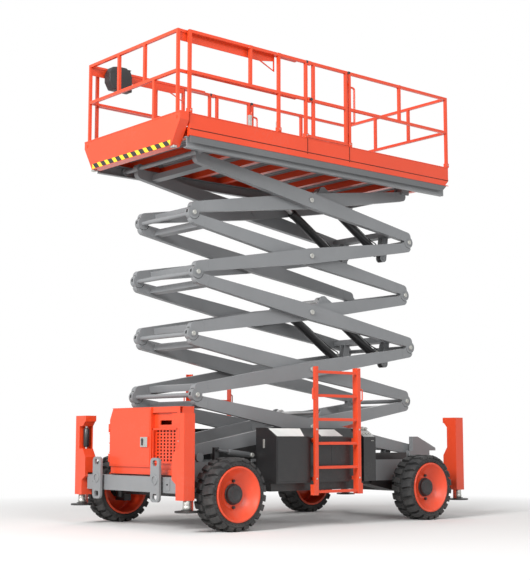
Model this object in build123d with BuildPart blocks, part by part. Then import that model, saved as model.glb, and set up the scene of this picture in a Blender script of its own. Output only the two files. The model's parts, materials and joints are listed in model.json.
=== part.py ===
from build123d import *
import math
import os

os.makedirs("parts", exist_ok=True)

# A rough-terrain scissor lift with its stack part raised.
# Frame: origin on the ground under the middle of the bounding box, +X to the front,
# +Y to the left side, +Z up. Millimetres and degrees.

# ---------------------------------------------------------------- driving dimensions
# wheels and axles
front_axle_inset = 103.4
rear_axle_inset = 302.0
tyre_radius = 376.0
tyre_width = 300.0
tyre_outer_y = 1170.0
lug_height = 26.0
lug_count = 16
lug_length = 96.0
rim_radius = 285.0
rim_bore_radius = 236.0
rim_disc_y = 1055.0
rim_disc_thickness = 14.0
hub_cap_radius = 105.0
hub_cap_depth = 62.0
wheel_bolt_count = 8
hub_radius = 100.0
spindle_radius = 30.0
kingpin_y = 980.0
kingpin_radius = 22.0
axle_half_height = 55.0
axle_half_length = 60.0
running_clearance = 0.5

# chassis
rail_inner_y = 605.0
rail_width = 60.0
rail_over_axle = 19.0
front_bumper_reach = 324.6
rear_bumper_reach = 296.0
bumper_depth = 125.0
bumper_height = 160.0
bumper_half_y = 880.0
bumper_drop = 60.0
subframe_height = 100.0
subframe_front_length = 160.0
subframe_rear_length = 60.0
cross_member_height = 110.0
cross_member_depth = 100.0
member_reach = 532.0
bumper_corner_cut = 45.0
bumper_corner_length = 60.0
flange = 10.0
tie_plate_y = 545.0
tie_plate_width = 155.0
tie_plate_height = 450.0
tie_plate_thickness = 30.0
tie_plate_rise = 50.0
tie_hole_radius = 30.0
tie_hole_reach = 170.0

# scissor stack
stage_count = 5
arm_length = 3364.0
rest_angle = 11.25
base_pin_x = -1664.0
pin_over_rail = 295.0
arm_width = 72.0
arm_gap = 5.0
outer_arm_y = 516.0
end_offset = 62.0
end_half_depth = 57.5
middle_half_depth = 90.0
nose = 25.0
knuckle_radius = 70.0
knuckle_clearance = 7.0
ear_thickness = 14.0
ear_clearance = 1.0
end_disc_radius = 50.0
node_pin_radius = 25.0
centre_pin_radius = 35.0
pin_head_depth = 8.0
cross_beam_height = 70.0
cross_beam_width = 80.0
cross_beam_distance = 220.0
roller_radius = 47.0
roller_width = 35.0
roller_clearance = 3.0

# lift cylinders
cylinder_y = 350.0
cylinder_foot_reach = 320.0
cylinder_foot_angle = -49.9
cylinder_head_reach = 360.0
cylinder_head_height = 100.0
barrel_radius = 52.0
barrel_bore = 34.0
rod_radius = 30.0
eye_radius = 48.0
eye_half_width = 25.0
side_gap = 5.0
rod_showing = 233.0
rod_start_reach = 343.0

# platform
deck_front_reach = 364.6
deck_rear_reach = 399.0
floor_above_pin = 154.0
floor_thickness = 15.0
toe_board_height = 147.0
side_frame_depth = 90.0
rail_centre_y = 891.5
rail_tube = 33.0
top_rail_height = 1030.0
mid_rail_height = 595.0
track_outer_y = 855.0
track_flange_width = 55.0
gate_clearance = 6.0
deck_end_cut = 60.0

# extension deck
extension_reach = 135.0
extension_rail_y = 847.0
extension_tube = 30.0
gusset_thickness = 10.0
gusset_depth = 105.0
gusset_end_depth = 70.0
gusset_length = 1110.0
brace_length = 210.0
brace_drop = 190.0
brace_width = 14.0

# front housing
housing_mount_height = 15.0
housing_depth = 145.0
housing_left_y = 780.0
housing_right_y = 530.0
housing_corner_width = 60.0
housing_corner_height = 120.0
housing_height = 700.0
wall = 12.0
hinge_radius = 7.0
hinge_length = 45.0

# side cabinets and ladders
cabinet_front_gap = 182.96
cabinet_rear_gap = 661.0
recess_length = 488.0
control_box_length = 190.0
cabinet_outer_y = 1100.0
recess_outer_y = 1060.0
cabinet_over_rail = 20.0
cabinet_height = 587.0
ladder_outer_y = 1165.0
ladder_bottom_z = 337.0
ladder_height = 1385.0
rung_pitch = 258.0
rung_count = 6
stile_width = 50.0
stile_depth = 78.0
stile_thickness = 8.0
rung_depth = 28.0

# outriggers
outrigger_offset = 95.0
leg_inset = 40.0
outrigger_length = 135.0
outrigger_reach = 137.0
outrigger_top_z = 1195.0
outrigger_bottom_z = 325.0
pad_radius = 120.0
pad_bottom_z = 205.0
leg_radius = 30.0
pocket_bottom_z = 830.0
pocket_top_z = 1130.0
pocket_wall = 7.0
jack_inset = 38.0
jack_radius = 30.0

# ---------------------------------------------------------------- worked-out places
axle_z = tyre_radius
rail_bottom_z = axle_z + axle_half_height + rail_over_axle
rail_outer_y = rail_inner_y + rail_width
base_pin_z = rail_bottom_z + pin_over_rail
rest = math.radians(rest_angle)
pitch = arm_length * math.sin(rest)
front_pin_x = base_pin_x + arm_length * math.cos(rest)
front_axle_x = front_pin_x - front_axle_inset
rear_axle_x = base_pin_x + rear_axle_inset
bumper_x = {1: front_pin_x + front_bumper_reach, -1: base_pin_x - rear_bumper_reach}
outrigger_x = {way: bumper_x[way] + way * outrigger_offset for way in (1, -1)}
outrigger_outer_y = bumper_half_y + outrigger_reach
outrigger_leg_y = outrigger_outer_y - leg_inset
pocket_y = outrigger_leg_y - leg_radius - pocket_wall
jack_y = pocket_y - jack_inset
rail_front_x = bumper_x[1] - subframe_front_length
rail_rear_x = bumper_x[-1] + subframe_rear_length
bumper_bottom_z = rail_bottom_z - bumper_drop
deck_front_x = front_pin_x + deck_front_reach
deck_rear_x = base_pin_x - deck_rear_reach
extension_front_x = deck_front_x + extension_reach
top_pin_z = base_pin_z + stage_count * pitch
inner_arm_y = outer_arm_y - arm_gap - arm_width
floor_z = top_pin_z + floor_above_pin
toe_z = floor_z + toe_board_height
side_bottom_z = floor_z - side_frame_depth
top_rail_z = floor_z + top_rail_height
mid_rail_z = floor_z + mid_rail_height
SIDES = (("left", 1), ("right", -1))
ENDS = (("front", 1), ("rear", -1))


def write(builder, name):
    """Label a finished sub-part and write its STEP file."""
    builder.part.label = name
    export_step(builder.part, "parts/" + name + ".step")


def block(x, y, z, mode=Mode.ADD):
    """A box between two limits along each axis, in the current part."""
    size = [max(pair) - min(pair) for pair in (x, y, z)]
    centre = [(pair[0] + pair[1]) / 2 for pair in (x, y, z)]
    with Locations(tuple(centre)):
        Box(*size, mode=mode)


def both_sides(x, y, z, mode=Mode.ADD):
    """The same box on the left and on the right of the centre plane."""
    for side in (1, -1):
        block(x, (side * y[0], side * y[1]), z, mode)


def rod_along_y(x, z, y, radius, mode=Mode.ADD):
    """A round bar along Y between two Y limits, in the current part."""
    with BuildSketch(Plane((x, min(y), z), x_dir=(1, 0, 0), z_dir=(0, 1, 0))) as section:
        Circle(radius)
    extrude(section.sketch, amount=max(y) - min(y), mode=mode)


# ---------------------------------------------------------------- scissor arms
def arm_plane(stage, forward):
    """Plane at the arm's lower pin: local x along the arm, local y to its upper side."""
    low_z = base_pin_z + (stage - 1) * pitch
    way = 1 if forward else -1
    start_x = base_pin_x if forward else front_pin_x
    along = (way * math.cos(rest), 0, math.sin(rest))
    return Plane((start_x, 0, low_z), x_dir=along, z_dir=(0, -way, 0))


def line_offset(distance):
    """Height of the beam's centre line over the pin line, at a distance from the lower pin."""
    return end_offset * (1 - 2 * distance / arm_length)


def band(plane, inner, outer, draw, mode=Mode.ADD):
    """Extrude one drawn outline between two distances from the centre plane, both sides."""
    for start in (inner, -outer):
        with BuildSketch(plane.offset(start)) as section:
            draw()
        extrude(section.sketch, amount=outer - inner, mode=mode)


def beam_outline():
    """Tapered beam, deep in the middle, with a rounded nose past each pin."""
    low = end_offset - end_half_depth
    high = end_offset + end_half_depth
    corners = (
        (-nose, low),
        (-nose, high),
        (arm_length / 2, middle_half_depth),
        (arm_length + nose, -low),
        (arm_length + nose, -high),
        (arm_length / 2, -middle_half_depth),
    )
    Polygon(*corners, align=None)
    for corner in (corners[1], corners[4]):
        fillet(vertices().sort_by_distance(corner)[0], knuckle_radius * 0.9)


def disc(distance, radius):
    """A drawing function for one round outline on the pin line."""
    def draw():
        with Locations((distance, 0)):
            Circle(radius)
    return draw


def cross_beam(plane, reach, distance, height):
    """Box tube that ties the left arm to the right arm."""
    with BuildSketch(plane.offset(-reach)) as section:
        with Locations((distance, height)):
            Rectangle(cross_beam_width, cross_beam_height)
    extrude(section.sketch, amount=2 * reach)


def foot_lug_outline():
    """Lug that hangs under the arm's lower cross beam and holds a cylinder's foot."""
    foot = foot_point()
    top = line_offset(cross_beam_distance)
    half = cross_beam_width / 2
    Polygon(
        (cross_beam_distance - half, top),
        (cross_beam_distance + half, top),
        (foot[0] + eye_radius, foot[1]),
        (foot[0] - eye_radius, foot[1]),
        align=None,
    )
    with Locations(foot):
        Circle(eye_radius)


def foot_point():
    """Cylinder foot in the arm's plane."""
    angle = math.radians(cylinder_foot_angle)
    return (cylinder_foot_reach * math.cos(angle), cylinder_foot_reach * math.sin(angle))


def foot_pin_outline():
    """Round pin that a cylinder's foot turns on."""
    with Locations(foot_point()):
        Circle(node_pin_radius)


def head_point():
    """Cylinder head in the inner arm's plane."""
    return (arm_length / 2 + cylinder_head_reach, cylinder_head_height)


def head_gusset_outline():
    """Humped gusset on the inner arm that holds a cylinder's head."""
    head = head_point()
    reach = 2.0 * cylinder_head_height
    Polygon(
        (head[0] - reach, 0),
        (head[0] - eye_radius, head[1] + eye_radius * 0.6),
        (head[0] + eye_radius, head[1] + eye_radius * 0.6),
        (head[0] + reach, 0),
        align=None,
    )
    with Locations(head):
        Circle(eye_radius * 1.2)


def arm_pair(name, stage, forward, inner_y, lower_end, upper_end):
    """Left and right arm of one stage with their cross beams, pins and lugs."""
    plane = arm_plane(stage, forward)
    outer_y = inner_y + arm_width
    is_outer = inner_y == outer_arm_y
    ear = ear_thickness
    tongue = ear_thickness + ear_clearance
    clear_radius = knuckle_radius + knuckle_clearance
    with BuildPart() as pair:
        band(plane, inner_y, outer_y, beam_outline)
        if lower_end == "ears":
            band(plane, inner_y + ear, outer_y - ear, disc(0, clear_radius), Mode.SUBTRACT)
            band(plane, inner_y, inner_y + ear, disc(0, knuckle_radius))
            band(plane, outer_y - ear, outer_y, disc(0, knuckle_radius))
            band(plane, inner_y, outer_y, disc(0, node_pin_radius + running_clearance), Mode.SUBTRACT)
        else:
            band(plane, inner_y, outer_y, disc(0, end_disc_radius))
        if upper_end == "tongue":
            band(plane, inner_y, inner_y + tongue, disc(arm_length, clear_radius), Mode.SUBTRACT)
            band(plane, outer_y - tongue, outer_y, disc(arm_length, clear_radius), Mode.SUBTRACT)
            band(plane, inner_y + tongue, outer_y - tongue, disc(arm_length, knuckle_radius))
            shaft_end = outer_y + pin_head_depth
            band(plane, 0, shaft_end, disc(arm_length, node_pin_radius))
            band(plane, outer_y + 1, shaft_end, disc(arm_length, node_pin_radius * 1.5))
        else:
            band(plane, inner_y, outer_y, disc(arm_length, end_disc_radius))
        if lower_end == "pivot":
            band(plane, inner_y, outer_y, disc(0, node_pin_radius + running_clearance), Mode.SUBTRACT)
        if upper_end == "pivot":
            hole = disc(arm_length, node_pin_radius + running_clearance)
            band(plane, inner_y, outer_y, hole, Mode.SUBTRACT)
        for end, where in ((lower_end, 0), (upper_end, arm_length)):
            if end == "roller":
                track_y = rail_inner_y if where == 0 else track_outer_y - track_flange_width
                roller_y = track_y + roller_clearance + 2
                band(plane, 0, roller_y + roller_width, disc(where, node_pin_radius))
                band(plane, roller_y, roller_y + roller_width, disc(where, roller_radius))
        if is_outer:
            head_y = inner_arm_y - arm_gap - pin_head_depth
            band(plane, head_y, inner_y, disc(arm_length / 2, centre_pin_radius))
            band(plane, head_y, inner_arm_y - arm_gap, disc(arm_length / 2, centre_pin_radius * 1.35))
            band(plane, outer_y, outer_y + pin_head_depth, disc(arm_length / 2, centre_pin_radius * 0.9))
        else:
            hole = disc(arm_length / 2, centre_pin_radius + running_clearance)
            band(plane, inner_y, outer_y, hole, Mode.SUBTRACT)
        lower_beam = cross_beam_distance
        upper_beam = arm_length - cross_beam_distance
        if lower_beam_allowed(forward, is_outer):
            cross_beam(plane, inner_y, lower_beam, line_offset(lower_beam))
        if upper_beam_allowed(forward, is_outer):
            cross_beam(plane, inner_y, upper_beam, line_offset(upper_beam))
        if is_outer and forward:
            lug_in = eye_half_width + side_gap
            for lug_y in (cylinder_y - lug_in - ear, cylinder_y + lug_in):
                band(plane, lug_y, lug_y + ear, foot_lug_outline)
            pin_reach = lug_in + ear + pin_head_depth
            band(plane, cylinder_y - pin_reach, cylinder_y + pin_reach, foot_pin_outline)
        if not is_outer and not forward:
            band(plane, inner_y - 2 * ear, inner_y, head_gusset_outline)
    write(pair, name)


def lower_beam_allowed(forward, is_outer):
    """Inner arms that start at the rear leave room for the cylinder feet there."""
    return is_outer or not forward


def upper_beam_allowed(forward, is_outer):
    """Outer arms that end at the rear leave room for the cylinder feet there."""
    return forward or not is_outer


for stage in range(1, stage_count + 1):
    odd = stage % 2 == 1
    first = stage == 1
    last = stage == stage_count
    outer_low = "pivot" if first else "ears"
    outer_high = "roller" if last else "tongue"
    arm_pair("outer_arms_%d" % stage, stage, odd, outer_arm_y, outer_low, outer_high)
    inner_low = "roller" if first else "ears"
    inner_high = "pivot" if last else "tongue"
    arm_pair("inner_arms_%d" % stage, stage, not odd, inner_arm_y, inner_low, inner_high)

# ---------------------------------------------------------------- lift cylinders
CYLINDERS = (("lower", 1), ("middle", 3), ("upper", 5))
for set_name, stage in CYLINDERS:
    outer_plane = arm_plane(stage, True)
    inner_plane = arm_plane(stage, False)
    foot = outer_plane.from_local_coords(Vector(*foot_point(), 0))
    head = inner_plane.from_local_coords(Vector(*head_point(), 0))
    stroke_line = (head - foot).normalized()
    rest_length = (head - foot).length
    tube_start = eye_radius + barrel_radius
    barrel_length = rest_length - rod_showing
    rod_length = rest_length - rod_start_reach
    with BuildPart() as barrels:
        for side in (1, -1):
            y_pair = (side * (cylinder_y - eye_half_width), side * (cylinder_y + eye_half_width))
            rod_along_y(foot.X, foot.Z, y_pair, eye_radius)
            foot_centre = foot + Vector(0, side * cylinder_y, 0)
            with BuildSketch(Plane(foot_centre, z_dir=stroke_line)):
                Circle(rod_radius)
            extrude(amount=tube_start)
            tube_plane = Plane(foot_centre + stroke_line * tube_start, z_dir=stroke_line)
            with BuildSketch(tube_plane):
                Circle(barrel_radius)
            extrude(amount=barrel_length - tube_start)
            with BuildSketch(tube_plane.offset(barrel_radius)):
                Circle(barrel_bore)
            extrude(amount=barrel_length, mode=Mode.SUBTRACT)
            bore_y = (side * (cylinder_y - rod_radius - 1), side * (cylinder_y + rod_radius + 1))
            rod_along_y(foot.X, foot.Z, bore_y, node_pin_radius + running_clearance, Mode.SUBTRACT)
    write(barrels, set_name + "_barrels")
    with BuildPart() as rods:
        head_y = inner_arm_y - 2 * ear_thickness - side_gap
        rod_along_y(head.X, head.Z, (-head_y, head_y), node_pin_radius)
        for side in (1, -1):
            y_pair = (side * (cylinder_y - eye_half_width), side * (cylinder_y + eye_half_width))
            rod_along_y(head.X, head.Z, y_pair, eye_radius)
            head_centre = head + Vector(0, side * cylinder_y, 0)
            with BuildSketch(Plane(head_centre, z_dir=-stroke_line)):
                Circle(rod_radius)
            extrude(amount=rod_length)
    write(rods, set_name + "_rods")

# ---------------------------------------------------------------- chassis
track_gap = roller_radius + roller_clearance
track_bottom_z = base_pin_z - track_gap
track_top_z = base_pin_z + track_gap
subframe_top_z = rail_bottom_z + subframe_height
housing_bottom_z = subframe_top_z + housing_mount_height
mount_x = (rail_front_x + 60, bumper_x[1] - 20)
CROSS_MEMBERS = (
    # rear end, front end
    (rail_rear_x, rail_rear_x + 110),
    (rear_axle_x + member_reach, rear_axle_x + member_reach + cross_member_depth + 20),
    (front_axle_x - member_reach + 100, front_axle_x - member_reach + 100 + cross_member_depth),
    (rail_front_x - 110, rail_front_x),
)
with BuildPart() as chassis_frame:
    both_sides((rail_rear_x, rail_front_x), (rail_inner_y, rail_outer_y), (rail_bottom_z, track_bottom_z))
    both_sides((rail_rear_x, base_pin_x + 120), (rail_inner_y, rail_outer_y), (track_bottom_z, track_top_z))
    both_sides((base_pin_x - 90, base_pin_x + 90), (460, 480), (rail_bottom_z + 60, base_pin_z + 50))
    both_sides((base_pin_x - 40, base_pin_x - 20), (480, rail_inner_y), (rail_bottom_z + 60, base_pin_z - 110))
    for side in (1, -1):
        rod_along_y(base_pin_x, base_pin_z, (side * 460, side * rail_outer_y), node_pin_radius)
    for low_x, high_x in CROSS_MEMBERS:
        block((low_x, high_x), (-rail_inner_y, rail_inner_y), (rail_bottom_z, rail_bottom_z + cross_member_height))
    block((base_pin_x - 90, base_pin_x + 90), (-480, 480), (rail_bottom_z + 10, rail_bottom_z + 60))
    for start, way in ((rail_front_x, 1), (rail_rear_x, -1)):
        both_sides((start, bumper_x[way]), (rail_inner_y, rail_outer_y), (rail_bottom_z, subframe_top_z))
    block(mount_x, (-rail_inner_y, rail_inner_y), (rail_bottom_z, subframe_top_z))
    for y_pair in ((rail_inner_y, rail_outer_y), (-housing_right_y, -housing_right_y + rail_width)):
        block(mount_x, y_pair, (subframe_top_z, housing_bottom_z))
    cover_bottom_z = track_top_z
    cover_top_z = base_pin_z + 220
    for start in (-rail_outer_y, rail_inner_y):
        with BuildSketch(Plane.XZ.offset(start)):
            Polygon(
                (base_pin_x + 64, cover_bottom_z),
                (base_pin_x + 64, cover_top_z),
                (base_pin_x - 26, cover_top_z),
                (bumper_x[-1] - 50, cover_bottom_z + 33),
                (bumper_x[-1] - 50, cover_bottom_z),
                align=None,
            )
        extrude(amount=rail_width)
write(chassis_frame, "chassis_frame")

# bumpers with the outrigger mounts
bumper_top_z = bumper_bottom_z + bumper_height
tie_plate_x = bumper_x[1] + bumper_depth + tie_plate_thickness
tie_plate_z = bumper_bottom_z + bumper_height / 2 + tie_plate_rise
for end_name, way in ENDS:
    with BuildPart() as bumper:
        outer_x = bumper_x[way] + way * bumper_depth
        with BuildSketch(Plane.XY.offset(bumper_bottom_z)):
            Polygon(
                (bumper_x[way], -bumper_half_y),
                (bumper_x[way], bumper_half_y),
                (outer_x - way * bumper_corner_cut, bumper_half_y),
                (outer_x, bumper_half_y - bumper_corner_length),
                (outer_x, bumper_corner_length - bumper_half_y),
                (outer_x - way * bumper_corner_cut, -bumper_half_y),
                align=None,
            )
        extrude(amount=bumper_height)
        if way > 0:
            for side in (1, -1):
                y_pair = (side * (tie_plate_y - 30), side * (tie_plate_y + 30))
                block((outer_x, tie_plate_x), y_pair, (bumper_top_z - 70, bumper_top_z + 10))
    write(bumper, end_name + "_bumper")

with BuildPart() as tie_plates:
    for side in (1, -1):
        with BuildSketch(Plane.YZ.offset(tie_plate_x)):
            with Locations((side * tie_plate_y, tie_plate_z)):
                RectangleRounded(tie_plate_width, tie_plate_height, 24)
                with Locations((0, tie_hole_reach), (0, -tie_hole_reach)):
                    Circle(tie_hole_radius, mode=Mode.SUBTRACT)
        extrude(amount=tie_plate_thickness)
        with BuildSketch(Plane.YZ.offset(tie_plate_x + tie_plate_thickness)):
            with Locations((side * tie_plate_y, tie_plate_z)):
                Circle(38)
        extrude(amount=12)
write(tie_plates, "tie_plates")


beam_half_y = kingpin_y - 120
yoke_half = 134.0


def axle_beam(x):
    """Axle beam under the chassis rails, out to the wheel ends, with two saddles."""
    beam_z = (axle_z - axle_half_height, axle_z + axle_half_height)
    block((x - axle_half_length, x + axle_half_length), (-beam_half_y, beam_half_y), beam_z)
    both_sides((x - 90, x + 90), (rail_inner_y, rail_outer_y), (axle_z + axle_half_height, rail_bottom_z))


with BuildPart() as front_axle:
    axle_beam(front_axle_x)
    x_pair = (front_axle_x - 45, front_axle_x + 45)
    for side in (1, -1):
        y_pair = (side * (beam_half_y - 10), side * (kingpin_y + 40))
        for way in (1, -1):
            block(x_pair, y_pair, (axle_z + way * (yoke_half - 30), axle_z + way * yoke_half))
        back_y = (side * (beam_half_y - 20), side * (beam_half_y + 10))
        block(x_pair, back_y, (axle_z - yoke_half, axle_z + yoke_half))
        with BuildSketch(Plane((front_axle_x, side * kingpin_y, axle_z - yoke_half))):
            Circle(kingpin_radius)
        extrude(amount=2 * yoke_half)
write(front_axle, "front_axle")

with BuildPart() as rear_axle:
    axle_beam(rear_axle_x)
    for side in (1, -1):
        rod_along_y(rear_axle_x, axle_z, (side * (beam_half_y - 10), side * (rim_disc_y - 10)), hub_radius)
        rod_along_y(rear_axle_x, axle_z, (side * (rim_disc_y - 15), side * (rim_disc_y + 50)), spindle_radius)
write(rear_axle, "rear_axle")

for side_name, side in SIDES:
    with BuildPart() as knuckle:
        knuckle_half = yoke_half - 35
        with BuildSketch(Plane((front_axle_x, side * kingpin_y, axle_z - knuckle_half))):
            Circle(60)
        extrude(amount=2 * knuckle_half)
        with BuildSketch(Plane((front_axle_x, side * kingpin_y, axle_z - knuckle_half))):
            Circle(kingpin_radius + running_clearance)
        extrude(amount=2 * knuckle_half, mode=Mode.SUBTRACT)
        rod_along_y(front_axle_x, axle_z, (side * (kingpin_y + 55), side * (rim_disc_y - 10)), hub_radius)
        rod_along_y(front_axle_x, axle_z, (side * (kingpin_y + 50), side * (rim_disc_y + 50)), spindle_radius)
    write(knuckle, side_name + "_knuckle")

# ---------------------------------------------------------------- wheels
tyre_inner_y = tyre_outer_y - tyre_width
carcass_radius = tyre_radius - lug_height


def tyre(x, side):
    """Solid tyre with chunky shoulder lugs, revolved about its axle."""
    middle_y = tyre_outer_y - tyre_width / 2
    half = tyre_width / 2
    axle_plane = Plane((x, side * middle_y, axle_z), x_dir=(1, 0, 0), z_dir=(0, side, 0))
    profile_plane = Plane((x, side * middle_y, axle_z), x_dir=(1, 0, 0), z_dir=(0, 0, 1))
    with BuildSketch(profile_plane) as section:
        Polygon(
            (rim_radius + 1, -half + 22),
            (rim_radius + 30, -half),
            (carcass_radius - 20, -half + 6),
            (carcass_radius, -half + 30),
            (carcass_radius, half - 30),
            (carcass_radius - 20, half - 6),
            (rim_radius + 30, half),
            (rim_radius + 1, half - 22),
            align=None,
        )
    revolve(section.sketch, axis=Axis((x, 0, axle_z), (0, 1, 0)))
    for row in (-1, 1):
        turn = 0 if row < 0 else 180 / lug_count
        start = -half + 4 if row < 0 else 8
        with BuildSketch(axle_plane.offset(start)) as lugs:
            with PolarLocations(tyre_radius, lug_count, turn):
                Rectangle(2 * lug_height + 20, lug_length)
            Circle(tyre_radius, mode=Mode.INTERSECT)
        extrude(lugs.sketch, amount=half - 12)


def rim(x, side):
    """Deep-dish rim with its flange, inset disc, hub cap and wheel bolts."""
    profile_plane = Plane((x, 0, axle_z), x_dir=(1, 0, 0), z_dir=(0, 0, 1))
    outer = tyre_outer_y - 20
    inner = tyre_inner_y + 22
    disc_back = rim_disc_y - rim_disc_thickness / 2
    disc_front = rim_disc_y + rim_disc_thickness / 2
    with BuildSketch(profile_plane) as section:
        Polygon(
            (rim_radius, side * inner),
            (rim_radius, side * outer),
            (rim_radius - 16, side * outer),
            (rim_bore_radius + 8, side * (disc_front + 10)),
            (rim_bore_radius - 16, side * disc_front),
            (hub_cap_radius, side * disc_front),
            (hub_cap_radius, side * (disc_front + hub_cap_depth - 12)),
            (hub_cap_radius - 12, side * (disc_front + hub_cap_depth)),
            (0, side * (disc_front + hub_cap_depth)),
            (0, side * disc_back),
            (rim_bore_radius, side * disc_back),
            (rim_bore_radius, side * inner),
            align=None,
        )
    revolve(section.sketch, axis=Axis((x, 0, axle_z), (0, 1, 0)))
    rod_along_y(x, axle_z, (side * (disc_back - 1), side * (rim_disc_y + 51)), spindle_radius + running_clearance, Mode.SUBTRACT)
    bolt_plane = Plane((x, side * disc_front, axle_z), x_dir=(1, 0, 0), z_dir=(0, side, 0))
    with BuildSketch(bolt_plane) as bolts:
        with PolarLocations(hub_cap_radius + 38, wheel_bolt_count):
            RegularPolygon(15, 6)
    extrude(bolts.sketch, amount=14)


for end_name, way in ENDS:
    wheel_x = front_axle_x if way > 0 else rear_axle_x
    for side_name, side in SIDES:
        with BuildPart() as wheel_tyre:
            tyre(wheel_x, side)
        write(wheel_tyre, "%s_%s_tyre" % (end_name, side_name))
        with BuildPart() as wheel_rim:
            rim(wheel_x, side)
        write(wheel_rim, "%s_%s_rim" % (end_name, side_name))

# ---------------------------------------------------------------- front housing
housing_rear_x = rail_front_x + 20
housing_face_x = housing_rear_x + housing_depth
door_frame_x = housing_face_x + 30
door_face_x = door_frame_x + 20
housing_top_z = housing_bottom_z + housing_height
door_y = (-housing_right_y + 40, housing_left_y - 490)
door_bottom_z = housing_bottom_z + 78
vent_y = (door_y[1] + 20, housing_left_y - 60)
vent_z = (housing_bottom_z + 135, housing_top_z - 230)
slot_y = (vent_y[0] + 80, vent_y[1] - 130)
slot_z = (vent_z[1] + 49, vent_z[1] + 95)

HINGE_Z = (door_bottom_z + 90, housing_top_z - 210)
hinge_x = door_face_x + 4
hinge_y = door_y[0] - 8


def hinge_barrel(z, way):
    """Half of a lift-off hinge: a short barrel on the door's axis and its leaf."""
    with BuildSketch(Plane((hinge_x, hinge_y, z))) as section:
        Circle(hinge_radius)
    extrude(section.sketch, amount=hinge_length - 1)
    leaf_x = (housing_face_x - 1, hinge_x) if way < 0 else (door_face_x - 3, hinge_x + 2)
    leaf_y = (hinge_y - hinge_radius, hinge_y) if way < 0 else (hinge_y, hinge_y + 30)
    block(leaf_x, leaf_y, (z, z + hinge_length - 1))


def panel_outline(low_y, high_y, low_z, high_z):
    """Upright panel with a sloped upper corner on its right."""
    Polygon(
        (low_y, low_z),
        (high_y, low_z),
        (high_y, high_z),
        (low_y + housing_corner_width, high_z),
        (low_y, high_z - housing_corner_height),
        align=None,
    )


with BuildPart() as housing_shell:
    with BuildSketch(Plane.YZ.offset(housing_rear_x)):
        panel_outline(-housing_right_y, housing_left_y, housing_bottom_z, housing_top_z)
    extrude(amount=housing_depth)
    with BuildSketch(Plane.YZ.offset(housing_face_x)):
        panel_outline(door_y[0], door_y[1], housing_bottom_z, housing_top_z)
    extrude(amount=door_frame_x - housing_face_x)
    with BuildSketch(Plane.YZ.offset(housing_rear_x + wall)):
        panel_outline(-housing_right_y + wall, housing_left_y - wall, housing_bottom_z + wall, housing_top_z - wall)
    extrude(amount=housing_depth - 2 * wall, mode=Mode.SUBTRACT)
    with BuildSketch(Plane.YZ.offset(housing_rear_x + wall)):
        panel_outline(door_y[0] + 30, door_y[1] - 30, door_bottom_z + 30, housing_top_z - 30)
    extrude(amount=door_frame_x - housing_rear_x, mode=Mode.SUBTRACT)
    block((housing_face_x - 2 * wall, housing_face_x + 1), vent_y, vent_z, Mode.SUBTRACT)
    block((housing_face_x - 2 * wall, housing_face_x + 1), slot_y, slot_z, Mode.SUBTRACT)
    for z in HINGE_Z:
        hinge_barrel(z - hinge_length, -1)
write(housing_shell, "housing_shell")

with BuildPart() as vent_grille:
    columns, rows = 7, 10
    width = vent_y[1] - vent_y[0]
    height = vent_z[1] - vent_z[0]
    with BuildSketch(Plane.YZ.offset(housing_face_x - wall)):
        with Locations((sum(vent_y) / 2, sum(vent_z) / 2)):
            Rectangle(width, height)
            with GridLocations(width / columns, height / rows, columns, rows):
                Rectangle(30, 20, mode=Mode.SUBTRACT)
    extrude(amount=6)
write(vent_grille, "vent_grille")

with BuildPart() as power_pack:
    block(
        (housing_rear_x + wall, housing_face_x - wall - 8),
        (door_y[0] + 60, door_y[1] - 60),
        (housing_bottom_z + wall, housing_top_z - 200),
    )
write(power_pack, "power_pack")

with BuildPart() as housing_door:
    with BuildSketch(Plane.YZ.offset(door_frame_x + 1)):
        panel_outline(door_y[0], door_y[1], door_bottom_z, housing_top_z)
    extrude(amount=door_face_x - door_frame_x - 1)
    latch_y = (door_y[1] - 170, door_y[1] - 40)
    block((door_face_x, door_face_x + 14), latch_y, (housing_bottom_z + 285, housing_bottom_z + 395))
    for z in HINGE_Z:
        hinge_barrel(z, 1)
write(housing_door, "housing_door")

# ---------------------------------------------------------------- side cabinets and ladders
cabinet_front_x = front_axle_x - tyre_radius - cabinet_front_gap
cabinet_rear_x = rear_axle_x + tyre_radius + cabinet_rear_gap
panel_rear_x = cabinet_rear_x - control_box_length
recess_front_x = cabinet_front_x - recess_length
cabinet_bottom_z = rail_bottom_z + cabinet_over_rail
cabinet_top_z = cabinet_bottom_z + cabinet_height
ladder_front_x = recess_front_x - 35
ladder_rear_x = cabinet_rear_x + 130
ladder_top_z = ladder_bottom_z + ladder_height


def cabinet_outline(side, outer):
    """Cross-section of a side cabinet with its sloped upper edge."""
    Polygon(
        (side * rail_outer_y, cabinet_bottom_z),
        (side * outer, cabinet_bottom_z),
        (side * outer, cabinet_top_z - 100),
        (side * (outer - 170), cabinet_top_z),
        (side * rail_outer_y, cabinet_top_z),
        align=None,
    )


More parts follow.
